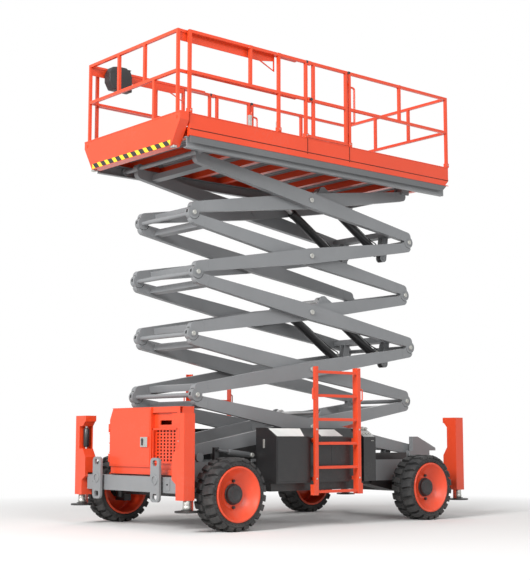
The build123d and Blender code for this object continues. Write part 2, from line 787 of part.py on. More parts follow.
for side_name, side in SIDES:
    with BuildPart() as cabinet:
        for start, end, outer in (
            (recess_front_x, cabinet_front_x, cabinet_outer_y),
            (cabinet_rear_x, recess_front_x, recess_outer_y),
        ):
            with BuildSketch(Plane.YZ.offset(start)):
                cabinet_outline(side, outer)
            extrude(amount=end - start)
        tray_y = (side * (rail_outer_y + 60), side * (recess_outer_y - 50))
        block((cabinet_rear_x, cabinet_front_x), tray_y, (cabinet_bottom_z - 140, cabinet_bottom_z))
    write(cabinet, side_name + "_cabinet")
    with BuildPart() as ladder:
        flange_y = (side * (ladder_outer_y - stile_thickness), side * ladder_outer_y)
        web_y = (side * (ladder_outer_y - stile_depth), side * ladder_outer_y)
        for x, way in ((ladder_front_x, -1), (ladder_rear_x, 1)):
            web_x = x + way * stile_width / 2
            inner_x = web_x - way * stile_thickness
            block((x - stile_width / 2, x + stile_width / 2), flange_y, (ladder_bottom_z, ladder_top_z))
            block((inner_x, web_x), web_y, (ladder_bottom_z, ladder_top_z))
            foot_z = (cabinet_bottom_z + 20, cabinet_bottom_z + 60)
            block((inner_x, web_x), (side * recess_outer_y, web_y[0]), foot_z)
            head_z = (cabinet_top_z, cabinet_top_z + stile_thickness)
            arm_y = (side * (recess_outer_y - 200), flange_y[1])
            block((inner_x - way * 30, web_x), arm_y, head_z)
        for step in range(rung_count):
            z = ladder_bottom_z + 35 + step * rung_pitch
            y_rung = (side * (ladder_outer_y - stile_thickness - rung_depth), side * (ladder_outer_y - stile_thickness))
            block((ladder_rear_x, ladder_front_x), y_rung, (z - 14, z + 14))
    write(ladder, side_name + "_ladder")

with BuildPart() as control_box:
    with BuildSketch(Plane.YZ.offset(panel_rear_x)):
        cabinet_outline(1, cabinet_outer_y)
    extrude(amount=cabinet_rear_x - panel_rear_x)
write(control_box, "control_box")

# ---------------------------------------------------------------- outriggers
bulge_y = bumper_half_y - 68
for end_name, way in ENDS:
    low_x = outrigger_x[way] - outrigger_length / 2
    with BuildPart() as covers:
        for side_name, side in SIDES:
            with BuildSketch(Plane.YZ.offset(low_x)):
                Polygon(
                    (side * outrigger_outer_y, outrigger_bottom_z),
                    (side * outrigger_outer_y, outrigger_top_z),
                    (side * (bumper_half_y - 30), outrigger_top_z),
                    (side * bulge_y, outrigger_top_z - 40),
                    (side * bulge_y, pocket_top_z),
                    (side * pocket_y, pocket_top_z),
                    (side * pocket_y, pocket_bottom_z),
                    (side * (bumper_half_y - 10), pocket_bottom_z),
                    (side * bulge_y, pocket_bottom_z - 90),
                    (side * bulge_y, bumper_top_z + 20),
                    (side * bumper_half_y, bumper_top_z),
                    (side * bumper_half_y, outrigger_bottom_z),
                    align=None,
                )
            extrude(amount=outrigger_length)
            with BuildSketch(Plane((outrigger_x[way], side * outrigger_leg_y, outrigger_bottom_z))):
                Circle(leg_radius + 3)
            extrude(amount=outrigger_top_z - outrigger_bottom_z - 40, mode=Mode.SUBTRACT)
    write(covers, end_name + "_outriggers")
    for side_name, side in SIDES:
        with BuildPart() as leg:
            with BuildSketch(Plane((outrigger_x[way], side * outrigger_leg_y, pad_bottom_z + 15))):
                Circle(leg_radius)
            extrude(amount=outrigger_top_z - 60 - pad_bottom_z - 15)
            with BuildSketch(Plane((outrigger_x[way], side * outrigger_leg_y, pad_bottom_z))):
                Circle(pad_radius)
            extrude(amount=16)
            with Locations((outrigger_x[way], side * outrigger_leg_y, pad_bottom_z + 50)):
                Sphere(42)
        write(leg, "%s_%s_leg" % (end_name, side_name))

with BuildPart() as outrigger_jacks:
    for end_name, way in ENDS:
        for side_name, side in SIDES:
            with BuildSketch(Plane((outrigger_x[way], side * jack_y, pocket_bottom_z))):
                Circle(jack_radius)
            extrude(amount=pocket_top_z - pocket_bottom_z)
write(outrigger_jacks, "outrigger_jacks")

# ---------------------------------------------------------------- platform
half_tube = rail_tube / 2
side_outer_y = rail_centre_y + half_tube - 3
side_inner_y = side_outer_y - 36
platform_track = ((track_outer_y - track_flange_width, track_outer_y), (top_pin_z - track_gap, top_pin_z + track_gap))
beam_spacing = (deck_front_x - deck_rear_x - 133) / 9
CROSS_BEAM_X = [deck_rear_x + 73 + step * beam_spacing for step in range(10)]

with BuildPart() as platform_deck:
    block((deck_rear_x, deck_front_x), (-side_inner_y, side_inner_y), (floor_z - floor_thickness, floor_z))
    for start in (side_outer_y, -side_inner_y):
        with BuildSketch(Plane.XZ.offset(-start)):
            Polygon(
                (deck_rear_x, side_bottom_z + deck_end_cut),
                (deck_rear_x, toe_z),
                (deck_front_x, toe_z),
                (deck_front_x, side_bottom_z),
                (deck_rear_x + deck_end_cut, side_bottom_z),
                align=None,
            )
        extrude(amount=side_outer_y - side_inner_y)
    block((deck_rear_x, deck_rear_x + 36), (-side_inner_y, side_inner_y), (side_bottom_z + deck_end_cut, toe_z))
    for x in CROSS_BEAM_X:
        block((x - 35, x + 35), (-side_inner_y, side_inner_y), (platform_track[1][1] + flange, floor_z - floor_thickness))
write(platform_deck, "platform_deck")

with BuildPart() as deck_tracks:
    track_low, track_high = platform_track[1]
    both_sides((deck_rear_x + 40, deck_front_x), (track_outer_y - flange, track_outer_y), (track_low - flange, track_high + flange))
    both_sides((deck_rear_x + 40, deck_front_x), (track_outer_y - track_flange_width, track_outer_y), (track_high, track_high + flange))
    both_sides((deck_rear_x + 40, deck_front_x), (track_outer_y - track_flange_width, track_outer_y), (track_low - flange, track_low))
    both_sides((base_pin_x - 60, base_pin_x + 60), (inner_arm_y - 34, inner_arm_y - 8), (top_pin_z - 45, platform_track[1][1] + flange))
    both_sides((base_pin_x - 60, base_pin_x + 60), (outer_arm_y + 4, outer_arm_y + 30), (top_pin_z - 45, platform_track[1][1] + flange))
    for side in (1, -1):
        rod_along_y(base_pin_x, top_pin_z, (side * (inner_arm_y - 34), side * (outer_arm_y + 30)), node_pin_radius)
write(deck_tracks, "deck_tracks")

gate_half = 345.0
end_post_x = (deck_rear_x + half_tube, deck_front_x - 4)
front_run = end_post_x[1] - gate_half
POSTS = (
    # x, reaches down to the toe board
    (end_post_x[1], True),
    (gate_half + front_run * 0.497, False),
    (gate_half + front_run * 0.248, True),
    (gate_half, True),
    (-gate_half, True),
    ((end_post_x[0] - gate_half) / 2, False),
    (end_post_x[0], True),
)
RAIL_RUNS = ((gate_half, end_post_x[1]), (end_post_x[0], -gate_half))
GATE_HINGE_Z = (toe_z + 110, top_rail_z - 150)
gate_hinge_x = -gate_half + half_tube + 9
gate_hinge_y = rail_centre_y - half_tube - 6


def gate_hinge(side, z, leaf_x):
    """Half of a gate hinge: a short barrel inside the rail's inner face and its leaf."""
    with BuildSketch(Plane((gate_hinge_x, side * gate_hinge_y, z))) as section:
        Circle(hinge_radius)
    extrude(section.sketch, amount=hinge_length - 1)
    leaf_y = (side * (gate_hinge_y - 2), side * (gate_hinge_y + 8))
    block((gate_hinge_x, leaf_x), leaf_y, (z, z + hinge_length - 1))


def side_guardrail(side):
    """Top and middle rail with their posts, open where the gate is."""
    y_pair = (side * (rail_centre_y - half_tube), side * (rail_centre_y + half_tube))
    for low_x, high_x in RAIL_RUNS:
        for z in (top_rail_z, mid_rail_z):
            block((low_x - half_tube, high_x + half_tube), y_pair, (z - half_tube, z + half_tube))
    for x, full in POSTS:
        low_z = toe_z if full else mid_rail_z
        block((x - half_tube, x + half_tube), y_pair, (low_z, top_rail_z))


for side_name, side in SIDES:
    with BuildPart() as guardrail:
        side_guardrail(side)
        for z in GATE_HINGE_Z:
            gate_hinge(side, z - hinge_length, -gate_half)
    write(guardrail, side_name + "_guardrail")
    with BuildPart() as gate:
        y_pair = (side * (rail_centre_y - half_tube), side * (rail_centre_y + half_tube))
        gate_rear_x = -gate_half + 56
        for x in (gate_rear_x, gate_half - 116):
            block((x - half_tube, x + half_tube), y_pair, (toe_z + gate_clearance, top_rail_z + half_tube))
        for z in (toe_z + gate_clearance + half_tube, mid_rail_z, top_rail_z):
            block((gate_rear_x - half_tube, gate_half - 25), y_pair, (z - half_tube, z + half_tube))
        for z in GATE_HINGE_Z:
            gate_hinge(side, z, gate_rear_x)
    write(gate, side_name + "_gate")

with BuildPart() as rear_guardrail:
    x_pair = (deck_rear_x, deck_rear_x + rail_tube)
    end_y = rail_centre_y - half_tube
    for z in (top_rail_z, mid_rail_z):
        block(x_pair, (-end_y, end_y), (z - half_tube, z + half_tube))
    for y in (254.0, -343.0):
        block(x_pair, (y - half_tube, y + half_tube), (mid_rail_z, top_rail_z))
write(rear_guardrail, "rear_guardrail")

# ---------------------------------------------------------------- extension deck
ext_rear_x = gate_half + 15
ext_half = extension_tube / 2
ext_box_rear_x = deck_front_x + 20
ext_low_y = 760.0
sliding_floor_half = side_inner_y - 69
ext_wide_y = 920.0
FRONT_POSTS_Y = (-257.0, 244.0)
half_post_y = 425.0
with BuildPart() as extension_deck:
    block((ext_rear_x, ext_box_rear_x + 5), (-sliding_floor_half, sliding_floor_half), (floor_z + 6, floor_z + 20))
    with BuildSketch(Plane.YZ.offset(ext_box_rear_x)):
        with BuildLine():
            Polyline(
                (-ext_wide_y, toe_z),
                (-ext_wide_y, floor_z + 60),
                (-ext_low_y, floor_z - 200),
                (ext_low_y, floor_z - 200),
                (ext_wide_y, floor_z + 60),
                (ext_wide_y, toe_z),
                close=True,
            )
        make_face()
    extrude(amount=extension_front_x - ext_box_rear_x)
write(extension_deck, "extension_deck")

front_x = extension_front_x - 20
rail_y = extension_rail_y
with BuildPart() as extension_front_rail:
    x_pair = (front_x - half_tube, front_x + half_tube)
    for z in (top_rail_z, mid_rail_z):
        block(x_pair, (-rail_y - ext_half, rail_y + ext_half), (z - half_tube, z + half_tube))
    both_sides(x_pair, (rail_y - half_tube + 4, rail_y + ext_half), (toe_z, top_rail_z))
    for y in FRONT_POSTS_Y:
        block(x_pair, (y - half_tube, y + half_tube), (mid_rail_z, top_rail_z))
    block(x_pair, (half_post_y - half_tube, half_post_y + half_tube), (toe_z, mid_rail_z))
write(extension_front_rail, "extension_front_rail")

with BuildPart() as extension_rails:
    end_x = front_x - half_tube
    band_rear_x = end_x - gusset_length
    brace_x = band_rear_x - brace_length
    for z in (top_rail_z, mid_rail_z):
        both_sides((gate_half + 115, end_x), (rail_y - ext_half, rail_y + ext_half), (z - ext_half, z + ext_half))
    for start in (gusset_thickness - rail_y, rail_y):
        with BuildSketch(Plane.XZ.offset(-start)):
            Polygon(
                (end_x, top_rail_z),
                (end_x, top_rail_z - gusset_depth),
                (band_rear_x, top_rail_z - gusset_depth),
                (brace_x, top_rail_z - gusset_end_depth),
                (brace_x, top_rail_z),
                align=None,
            )
            Polygon(
                (band_rear_x, top_rail_z - gusset_depth),
                (band_rear_x, top_rail_z - gusset_depth + brace_width),
                (brace_x + brace_width, top_rail_z - brace_drop + brace_width),
                (brace_x + brace_width, top_rail_z - gusset_end_depth),
                (brace_x, top_rail_z - gusset_end_depth),
                (brace_x, top_rail_z - brace_drop),
                align=None,
            )
        extrude(amount=gusset_thickness)
write(extension_rails, "extension_rails")

with BuildPart() as control_console:
    console_x = front_x - 510
    console_y = rail_y - ext_half - 20
    block((console_x, console_x + 360), (-console_y, -console_y + 122), (top_rail_z - 230, top_rail_z + 10))
    block((console_x + 95, console_x + 265), (-console_y - 20, -console_y), (top_rail_z - 15, top_rail_z + 15))
write(control_console, "control_console")
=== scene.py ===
"""Dressed model of a rough-terrain scissor lift, laid out as an add-on and run as a script."""

import json
import math

import bmesh
import bpy
from mathutils import Matrix, Vector


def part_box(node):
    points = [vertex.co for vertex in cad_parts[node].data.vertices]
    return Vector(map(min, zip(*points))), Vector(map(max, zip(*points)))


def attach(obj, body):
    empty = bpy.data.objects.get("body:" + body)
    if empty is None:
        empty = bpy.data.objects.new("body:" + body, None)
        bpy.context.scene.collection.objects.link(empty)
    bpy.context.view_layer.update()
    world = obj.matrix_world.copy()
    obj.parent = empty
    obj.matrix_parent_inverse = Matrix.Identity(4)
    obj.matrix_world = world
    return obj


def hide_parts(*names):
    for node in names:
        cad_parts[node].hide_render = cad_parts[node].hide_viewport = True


bl_info = {
    "name": "Scissor lift dresser",
    "version": (1, 0, 0),
    "blender": (4, 5, 0),
    "location": "View3D > Sidebar > Lift",
    "description": "Builds the finishes and small parts of a scissor lift round its packed frame",
    "category": "Object",
}

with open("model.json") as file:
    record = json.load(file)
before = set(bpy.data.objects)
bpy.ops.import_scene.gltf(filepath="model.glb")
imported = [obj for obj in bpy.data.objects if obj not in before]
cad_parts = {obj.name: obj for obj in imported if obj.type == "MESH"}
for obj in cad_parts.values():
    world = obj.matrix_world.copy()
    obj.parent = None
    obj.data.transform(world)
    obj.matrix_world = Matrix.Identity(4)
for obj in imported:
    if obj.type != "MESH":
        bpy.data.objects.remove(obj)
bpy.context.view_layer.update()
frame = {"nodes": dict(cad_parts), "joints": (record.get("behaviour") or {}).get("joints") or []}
NODES = frame["nodes"]
JOINTS = {joint["name"]: joint for joint in frame["joints"]}
BOTH = (1, -1)
SIDES = (("left", 1), ("right", -1))
ENDS = (("front", 1), ("rear", -1))
CORNERS = [("%s_%s" % (end, side_name), way, side) for end, way in ENDS for side_name, side in SIDES]


# ---------------------------------------------------------------- shader expressions
class Wire:
    """A shader socket that can be used in ordinary arithmetic."""

    def __init__(self, graph, socket):
        self.graph = graph
        self.socket = socket

    def maths(self, operation, *others):
        """One Math node fed by this value and the others."""
        return self.graph.add("ShaderNodeMath", {"operation": operation}, self, *others)

    def __add__(self, other):
        return self.maths("ADD", other)

    __radd__ = __add__

    def __sub__(self, other):
        return self.maths("SUBTRACT", other)

    def __rsub__(self, other):
        return self.graph.add("ShaderNodeMath", {"operation": "SUBTRACT"}, other, self)

    def __mul__(self, other):
        return self.maths("MULTIPLY", other)

    __rmul__ = __mul__

    def __truediv__(self, other):
        return self.maths("DIVIDE", other)

    def __gt__(self, other):
        return self.maths("GREATER_THAN", other)

    def __mod__(self, other):
        return self.maths("FLOORED_MODULO", other)

    def __pow__(self, other):
        return self.maths("POWER", other)

    def ramp(self, low, high, start=0.0, end=1.0):
        """Start below low, end above high, and straight between them."""
        return self.graph.add("ShaderNodeMapRange", {"clamp": True}, self, low, high, start, end)


class Graph:
    """The node tree of a material or of the world, built by expressions."""

    def __init__(self, owner, output="ShaderNodeOutputMaterial"):
        self.owner = owner
        owner.use_nodes = True
        self.tree = owner.node_tree
        self.tree.nodes.clear()
        self.output = self.tree.nodes.new(output)

    def add(self, kind, settings, *values, out=0, **named):
        """A node with its settings made first, then its inputs by order or by name."""
        node = self.tree.nodes.new(kind)
        for key, value in settings.items():
            setattr(node, key, value)
        for index, value in enumerate(values):
            self.feed(node.inputs[index], value)
        for key, value in named.items():
            self.feed(node.inputs[key.replace("_", " ")], value)
        return Wire(self, node.outputs[out])

    def feed(self, socket, value):
        """Link a wire to a socket, or set the socket's own value."""
        if isinstance(value, Wire):
            self.tree.links.new(value.socket, socket)
        elif value is not None:
            socket.default_value = value

    def outputs(self, kind, *values):
        """Every output of a new node, by name."""
        node = self.add(kind, {}, *values).socket.node
        return {output.name: Wire(self, output) for output in node.outputs}

    def place(self):
        """Object coordinates of the shaded point."""
        return self.outputs("ShaderNodeTexCoord")["Object"]

    def axes(self):
        """The X, Y and Z of the shaded point."""
        return list(self.outputs("ShaderNodeSeparateXYZ", self.place()).values())

    def noise(self, scale, detail=3.0, roughness=0.5, stretch=None):
        """A noise value over the object, about 0.5 on average."""
        where = self.place()
        if stretch:
            where = self.add("ShaderNodeMapping", {}, where, None, None, stretch)
        return self.add("ShaderNodeTexNoise", {}, where, None, scale, detail, roughness)

    def mix(self, factor, low, high):
        """A colour between two colours, whose sockets follow those for numbers and vectors."""
        return self.add("ShaderNodeMix", {"data_type": "RGBA"}, factor, *[None] * 5, low, high, out=2)

    def bump(self, height, strength, distance):
        """A normal from a height."""
        return self.add("ShaderNodeBump", {}, Strength=strength, Distance=distance, Height=height)

    def show(self, shader):
        """Joins a shader to the output and gives back the material or the world."""
        self.feed(self.output.inputs["Surface"], shader)
        return self.owner


def surface(graph, **sockets):
    """The graph's material, shown as a Principled surface with the given sockets."""
    return graph.show(graph.add("ShaderNodeBsdfPrincipled", {}, **sockets))


def rgba(colour, gain=1.0):
    """A colour with full alpha, made lighter or darker."""
    return tuple(min(1.0, channel * gain) for channel in colour[:3]) + (1.0,)


# ---------------------------------------------------------------- settings
def colour_setting(name, description, default):
    """A colour that a user can change."""
    return bpy.props.FloatVectorProperty(
        name=name, description=description, subtype="COLOR", size=3, default=default, min=0.0, max=1.0)


def length_setting(name, description, default, least):
    """A length that a user can change."""
    return bpy.props.FloatProperty(
        name=name, description=description, subtype="DISTANCE", default=default, min=least)


class LiftFinish(bpy.types.PropertyGroup):
    """Colours of the machine's finishes."""

    orange: colour_setting(
        "Machine orange", "Paint of the housing, platform, rims and ladders", (0.700, 0.054, 0.010))
    grey: colour_setting("Stack grey", "Paint of the arms, chassis and bumpers", (0.205, 0.212, 0.219))
    black: colour_setting(
        "Cabinet black", "Powder coat of the cabinets and lift cylinders", (0.009, 0.009, 0.010))
    rubber: colour_setting("Tyre rubber", "Colour of the tyres", (0.020, 0.020, 0.021))
    steel: colour_setting("Bare steel", "Rods of the lift cylinders and the outriggers", (0.62, 0.62, 0.62))
    label: colour_setting("Label white", "Blank labels of the cabinets", (0.78, 0.79, 0.77))
    hazard: colour_setting("Hazard yellow", "Light stripe of the warning band", (0.86, 0.56, 0.03))
    dust: bpy.props.FloatProperty(
        name="Dust", description="How much dust lies on the lower parts",
        subtype="FACTOR", default=0.10, min=0.0, max=1.0)


class LiftSizes(bpy.types.PropertyGroup):
    """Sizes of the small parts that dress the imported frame."""

    pin_head_radius: length_setting("Pin head radius", "Silver head of an arm's pin", 0.026, 0.005)
    stripe_pitch: length_setting(
        "Stripe pitch", "Distance from one hazard stripe to the next", 0.150, 0.01)
    stripe_height: length_setting("Stripe height", "Height of the warning band", 0.058, 0.01)


def finish():
    """The finish settings of the open scene."""
    return bpy.context.scene.lift_finish


def sizes():
    """The small parts' settings of the open scene."""
    return bpy.context.scene.lift_sizes


# ---------------------------------------------------------------- materials
DUST_COLOUR = (0.33, 0.29, 0.24, 1.0)
TYRE_DUST_COLOUR = (0.3, 0.27, 0.22, 1.0)
WORN_RUBBER = (0.075, 0.072, 0.068, 1.0)
SCUFFED_STRIPE = (0.30, 0.24, 0.16, 1.0)
DARK_STRIPE = (0.015, 0.015, 0.015)
STRIPE_SHARE = 0.56


def new_graph(name):
    """The empty node tree of a new material."""
    return Graph(bpy.data.materials.new(name))


def painted(name, colour, roughness, grain, dirt=0.0, coat=0.25):
    """Gloss paint with orange peel, slow colour drift, scuffs and dust low down."""
    graph = new_graph(name)
    drift = graph.noise(1.7, 4.0, 0.6)
    fine = graph.noise(38.0, 3.0, 0.6)
    peel = graph.noise(420.0, 2.0, 0.5)
    shade = graph.mix(drift.ramp(0.3, 0.7), rgba(colour, 1.0 - grain), rgba(colour, 1.0 + grain * 0.5))
    scuffs = (fine * drift).ramp(0.30, 0.42)
    worn = graph.mix(scuffs * 0.12, shade, rgba([channel * 0.5 + 0.12 for channel in colour]))
    height = graph.axes()[2]
    settled = (1.0 - height.ramp(0.05, 0.85)) * graph.noise(9.0, 5.0, 0.65).ramp(0.35, 0.65)
    dusty = graph.mix(settled * dirt, worn, DUST_COLOUR)
    gloss = roughness + drift * 0.10 + settled * (dirt * 0.6)
    bumps = graph.bump(peel + fine * 0.4, 0.10, 0.0006)
    return surface(graph, Base_Color=dusty, Roughness=gloss, Normal=bumps,
                   Coat_Weight=coat, Coat_Roughness=0.18)


def rubber(name, colour, roughness=0.82):
    """Moulded rubber, greyer where it is scuffed and dusty low down."""
    graph = new_graph(name)
    blotch = graph.noise(6.0, 5.0, 0.65)
    fine = graph.noise(160.0, 3.0, 0.6)
    worn = graph.mix(blotch.ramp(0.42, 0.72) * 0.55, rgba(colour), WORN_RUBBER)
    settled = (1.0 - graph.axes()[2].ramp(0.0, 0.5)) * fine.ramp(0.4, 0.7)
    dusty = graph.mix(settled * finish().dust, worn, TYRE_DUST_COLOUR)
    return surface(graph, Base_Color=dusty, Roughness=roughness - blotch * 0.12,
                   Normal=graph.bump(fine, 0.25, 0.001))


def metal(name, colour, roughness=0.28, metallic=1.0):
    """Turned or plated steel with a faint grain."""
    graph = new_graph(name)
    grain = graph.noise(90.0, 4.0, 0.6, (1.0, 6.0, 1.0))
    shade = graph.mix(grain.ramp(0.3, 0.7), rgba(colour, 0.82), rgba(colour, 1.08))
    return surface(graph, Base_Color=shade, Metallic=metallic, Roughness=roughness + grain * 0.14,
                   Normal=graph.bump(grain, 0.08, 0.0004))


def plastic(name, colour, roughness):
    """Moulded plastic with a fine leather grain."""
    graph = new_graph(name)
    grain = graph.noise(260.0, 3.0, 0.6)
    drift = graph.noise(3.0, 3.0, 0.5)
    shade = graph.mix(drift.ramp(0.3, 0.7), rgba(colour, 0.88), rgba(colour, 1.12))
    return surface(graph, Base_Color=shade, Roughness=roughness + grain * 0.1,
                   Normal=graph.bump(grain, 0.2, 0.0006))


def hazard_paint(name, light, dark, pitch):
    """Slanted warning stripes that run along Y."""
    graph = new_graph(name)
    y, z = graph.axes()[1:]
    stripe = ((y + z) / pitch) % 1.0 > STRIPE_SHARE
    scuff = graph.noise(22.0, 4.0, 0.6).ramp(0.55, 0.8)
    colour = graph.mix(stripe, rgba(dark), rgba(light))
    worn = graph.mix(scuff * 0.2, colour, SCUFFED_STRIPE)
    return surface(graph, Base_Color=worn, Roughness=0.42 + scuff * 0.2)


MATERIALS = {}
SLOTS = {
    look: slot
    for slot, looks in (
        ("machine_orange", "orange_paint orange_low_paint hazard_band"),
        ("lift_grey", "grey_paint grey_low_paint channel_paint"),
        ("tyre_rubber", "tyre_rubber"),
        ("bare_steel", "bare_steel zinc_plate"),
        ("cabinet_black", "black_paint black_plastic dark_hollow white_label panel_face red_button"),
    )
    for look in looks.split()
}


def material(name):
    """A finish of the machine, made when it is first asked for."""
    if name not in MATERIALS:
        look = finish()
        maker, *values = {
            "orange_paint": (painted, look.orange, 0.34, 0.05),
            "orange_low_paint": (painted, look.orange, 0.36, 0.05, look.dust),
            "grey_paint": (painted, look.grey, 0.42, 0.08, 0.0, 0.12),
            "grey_low_paint": (painted, look.grey, 0.44, 0.08, look.dust, 0.12),
            # a darker copy of the stack grey: painted shade for the deck's angled side channels, also used on
            # the axle locks
            "channel_paint": (painted, [channel * 0.55 for channel in look.grey], 0.46, 0.08, 0.0, 0.1),
            "black_paint": (painted, look.black, 0.40, 0.10, look.dust * 0.5, 0.2),
            "tyre_rubber": (rubber, look.rubber),
            "bare_steel": (metal, look.steel),
            # plated steel; also drawn as the painted highlight on the arms' round ends
            "zinc_plate": (metal, (0.50, 0.50, 0.47), 0.40, 0.85),
            "black_plastic": (plastic, (0.022, 0.022, 0.023), 0.45),
            # near black; in the knuckle slots and behind the vent grille it is painted shade
            "dark_hollow": (plastic, (0.006, 0.006, 0.006), 0.9),
            "white_label": (plastic, look.label, 0.35),
            "panel_face": (plastic, (0.62, 0.63, 0.62), 0.4),
            "red_button": (plastic, (0.55, 0.012, 0.010), 0.3),
            "hazard_band": (hazard_paint, look.hazard, DARK_STRIPE, sizes().stripe_pitch),
        }[name]
        MATERIALS[name] = maker(name, *values)
    return MATERIALS[name]


# ---------------------------------------------------------------- shapes added to a mesh
BEVEL_PROFILE = 0.6


def span(side, near, far):
    """The Y of two distances from the machine's middle on one side, the lower one first."""
    return sorted((side * near, side * far))


def circle_point(radius, angle):
    """The two coordinates of a point on a circle."""
    return radius * math.cos(angle), radius * math.sin(angle)


def about(middle, half):
    """The two ends of a span with that middle and half length."""
    return middle - half, middle + half


def box_into(bm, low, high, bevel=0.0, matrix=Matrix()):
    """A box between two corners, its edges rounded by bevel, placed by a matrix."""
    centre = [(a + b) / 2 for a, b in zip(low, high)]
    size = [abs(b - a) for a, b in zip(low, high)]
    place = matrix @ Matrix.Translation(centre) @ Matrix.Diagonal((*size, 1.0))
    made = bmesh.ops.create_cube(bm, size=1.0, matrix=place)
    if bevel:
        edges = list({edge for vert in made["verts"] for edge in vert.link_edges})
        bmesh.ops.bevel(bm, geom=edges, offset=bevel, segments=2, affect="EDGES", profile=BEVEL_PROFILE)


def boxes_into(bm, rows, bevel, side=1):
    """Boxes given by their two X, Y and Z, with Y counted towards one side."""
    for x, y, z in rows:
        box_into(bm, (x[0], side * y[0], z[0]), (x[1], side * y[1], z[1]), bevel)


def skin_into(bm, rings):
    """Faces between each ring of points and the next."""
    count = len(rings[0])
    for first, second in zip(rings, rings[1:]):
        for step in range(count):
            after = (step + 1) % count
            corners = list(dict.fromkeys((first[step], first[after], second[after], second[step])))
            if len(corners) > 2:
                bm.faces.new(corners)


def lathe_into(bm, profile, origin, axis, steps):
    """A profile of (radius, distance) pairs turned about an axis."""
    turn = Vector((0, 0, 1)).rotation_difference(Vector(axis)).to_matrix().to_4x4()
    place = Matrix.Translation(origin) @ turn
    turns = [circle_point(1.0, math.tau * step / steps) for step in range(steps)]
    rings = []
    for radius, distance in profile:
        if radius:
            rings.append([
                bm.verts.new(place @ Vector((radius * x, radius * y, distance))) for x, y in turns
            ])
        else:
            rings.append([bm.verts.new(place @ Vector((0, 0, distance)))] * steps)
    skin_into(bm, rings)


def plate_into(bm, outline, low, high, axis="x"):
    """A flat outline pushed out along X or Y between two distances."""
    order = {"x": lambda a, b, c: (c, a, b), "y": lambda a, b, c: (a, c, b)}[axis]
    rings = [[bm.verts.new(order(a, b, distance)) for a, b in outline] for distance in (low, high)]
    skin_into(bm, rings)
    bm.faces.new(rings[0][::-1])
    bm.faces.new(rings[1])


def arc_into(bm, centre, way, y, radii, angles, steps=8):
    """A curved strip about an axle along Y, between two radii and two angles over the horizontal."""
    section = ((radii[0], y[0]), (radii[1], y[0]), (radii[1], y[1]), (radii[0], y[1]))
    rings = []
    for step in range(steps + 1):
        angle = math.radians(angles[0] + (angles[1] - angles[0]) * step / steps)
        out, up = way * math.cos(angle), math.sin(angle)
        rings.append([
            bm.verts.new((centre.x + radius * out, across, centre.z + radius * up))
            for radius, across in section
        ])
    skin_into(bm, rings)
    bm.faces.new(rings[0])
    bm.faces.new(rings[-1][::-1])


# ---------------------------------------------------------------- pieces from meshes
SHARP_ANGLE = math.radians(35)
MERGE_DISTANCE = 1e-6


def placed(name, data):
    """A new object at the origin, linked into the scene."""
    made = bpy.data.objects.new(name, data)
    bpy.context.scene.collection.objects.link(made)
    return made


def plain_mesh(holder):
    """The mesh that an object's modifier or curve makes."""
    depsgraph = bpy.context.evaluated_depsgraph_get()
    return bpy.data.meshes.new_from_object(holder.evaluated_get(depsgraph))


def keep(mesh, name, look, body, smooth=False, slot=None, stands_for=None):
    """A piece of that mesh, with its finish, its body and the node that it stands for; the slot that it is
    given is not kept.
    """
    mesh.name = name
    mesh.materials.clear()
    mesh.materials.append(material(look))
    made = placed(name, mesh)
    if smooth:
        mesh.shade_smooth()
        mesh.set_sharp_from_angle(angle=SHARP_ANGLE)
    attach(made, body)
    slot or SLOTS[look]
    if stands_for:
        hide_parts(stands_for)
    return made


def drawn(draw):
    """The closed mesh that a function draws, with its faces all pointing outwards."""
    bm = bmesh.new()
    draw(bm)
    bmesh.ops.remove_doubles(bm, verts=bm.verts, dist=MERGE_DISTANCE)
    bmesh.ops.recalc_face_normals(bm, faces=bm.faces)
    mesh = bpy.data.meshes.new("drawn")
    bm.to_mesh(mesh)
    bm.free()
    return mesh


def piece(name, draw, look, body, **more):
    """A piece drawn by a function."""
    return keep(drawn(draw), name, look, body, **more)


def boxes(name, rows, look, body, bevel=0.0, sides=(1,), **more):
    """A piece of boxes, as boxes_into takes them, on each of the given sides."""
    def draw(bm):
        for side in sides:
            boxes_into(bm, rows, bevel, side)
    return piece(name, draw, look, body, **more)


def turned(name, profile, origin, axis, steps, look, body, smooth=True, **more):
    """A piece turned about an axis."""
    return piece(name, lambda bm: lathe_into(bm, profile, origin, axis, steps), look, body,
                 smooth=smooth, **more)


def tube(name, points, radius, look, body):
    """A bent round tube through the given points, turned into a plain closed mesh."""
    curve = bpy.data.curves.new(name, "CURVE")
    curve.dimensions = "3D"
    curve.bevel_depth = radius
    curve.bevel_resolution = 3
    curve.resolution_u = 10
    curve.use_fill_caps = True
    spline = curve.splines.new("NURBS")
    spline.points.add(len(points) - 1)
    for point, place in zip(spline.points, points):
        point.co = (*place, 1.0)
    spline.order_u = 3
    spline.use_endpoint_u = True
    holder = placed(name + "_path", curve)
    mesh = plain_mesh(holder)
    bpy.data.objects.remove(holder)
    return keep(mesh, name, look, body, smooth=True)


# ---------------------------------------------------------------- repeats by Geometry Nodes
HEAD_TAPER = 0.85
ROUND_SIDES = 12


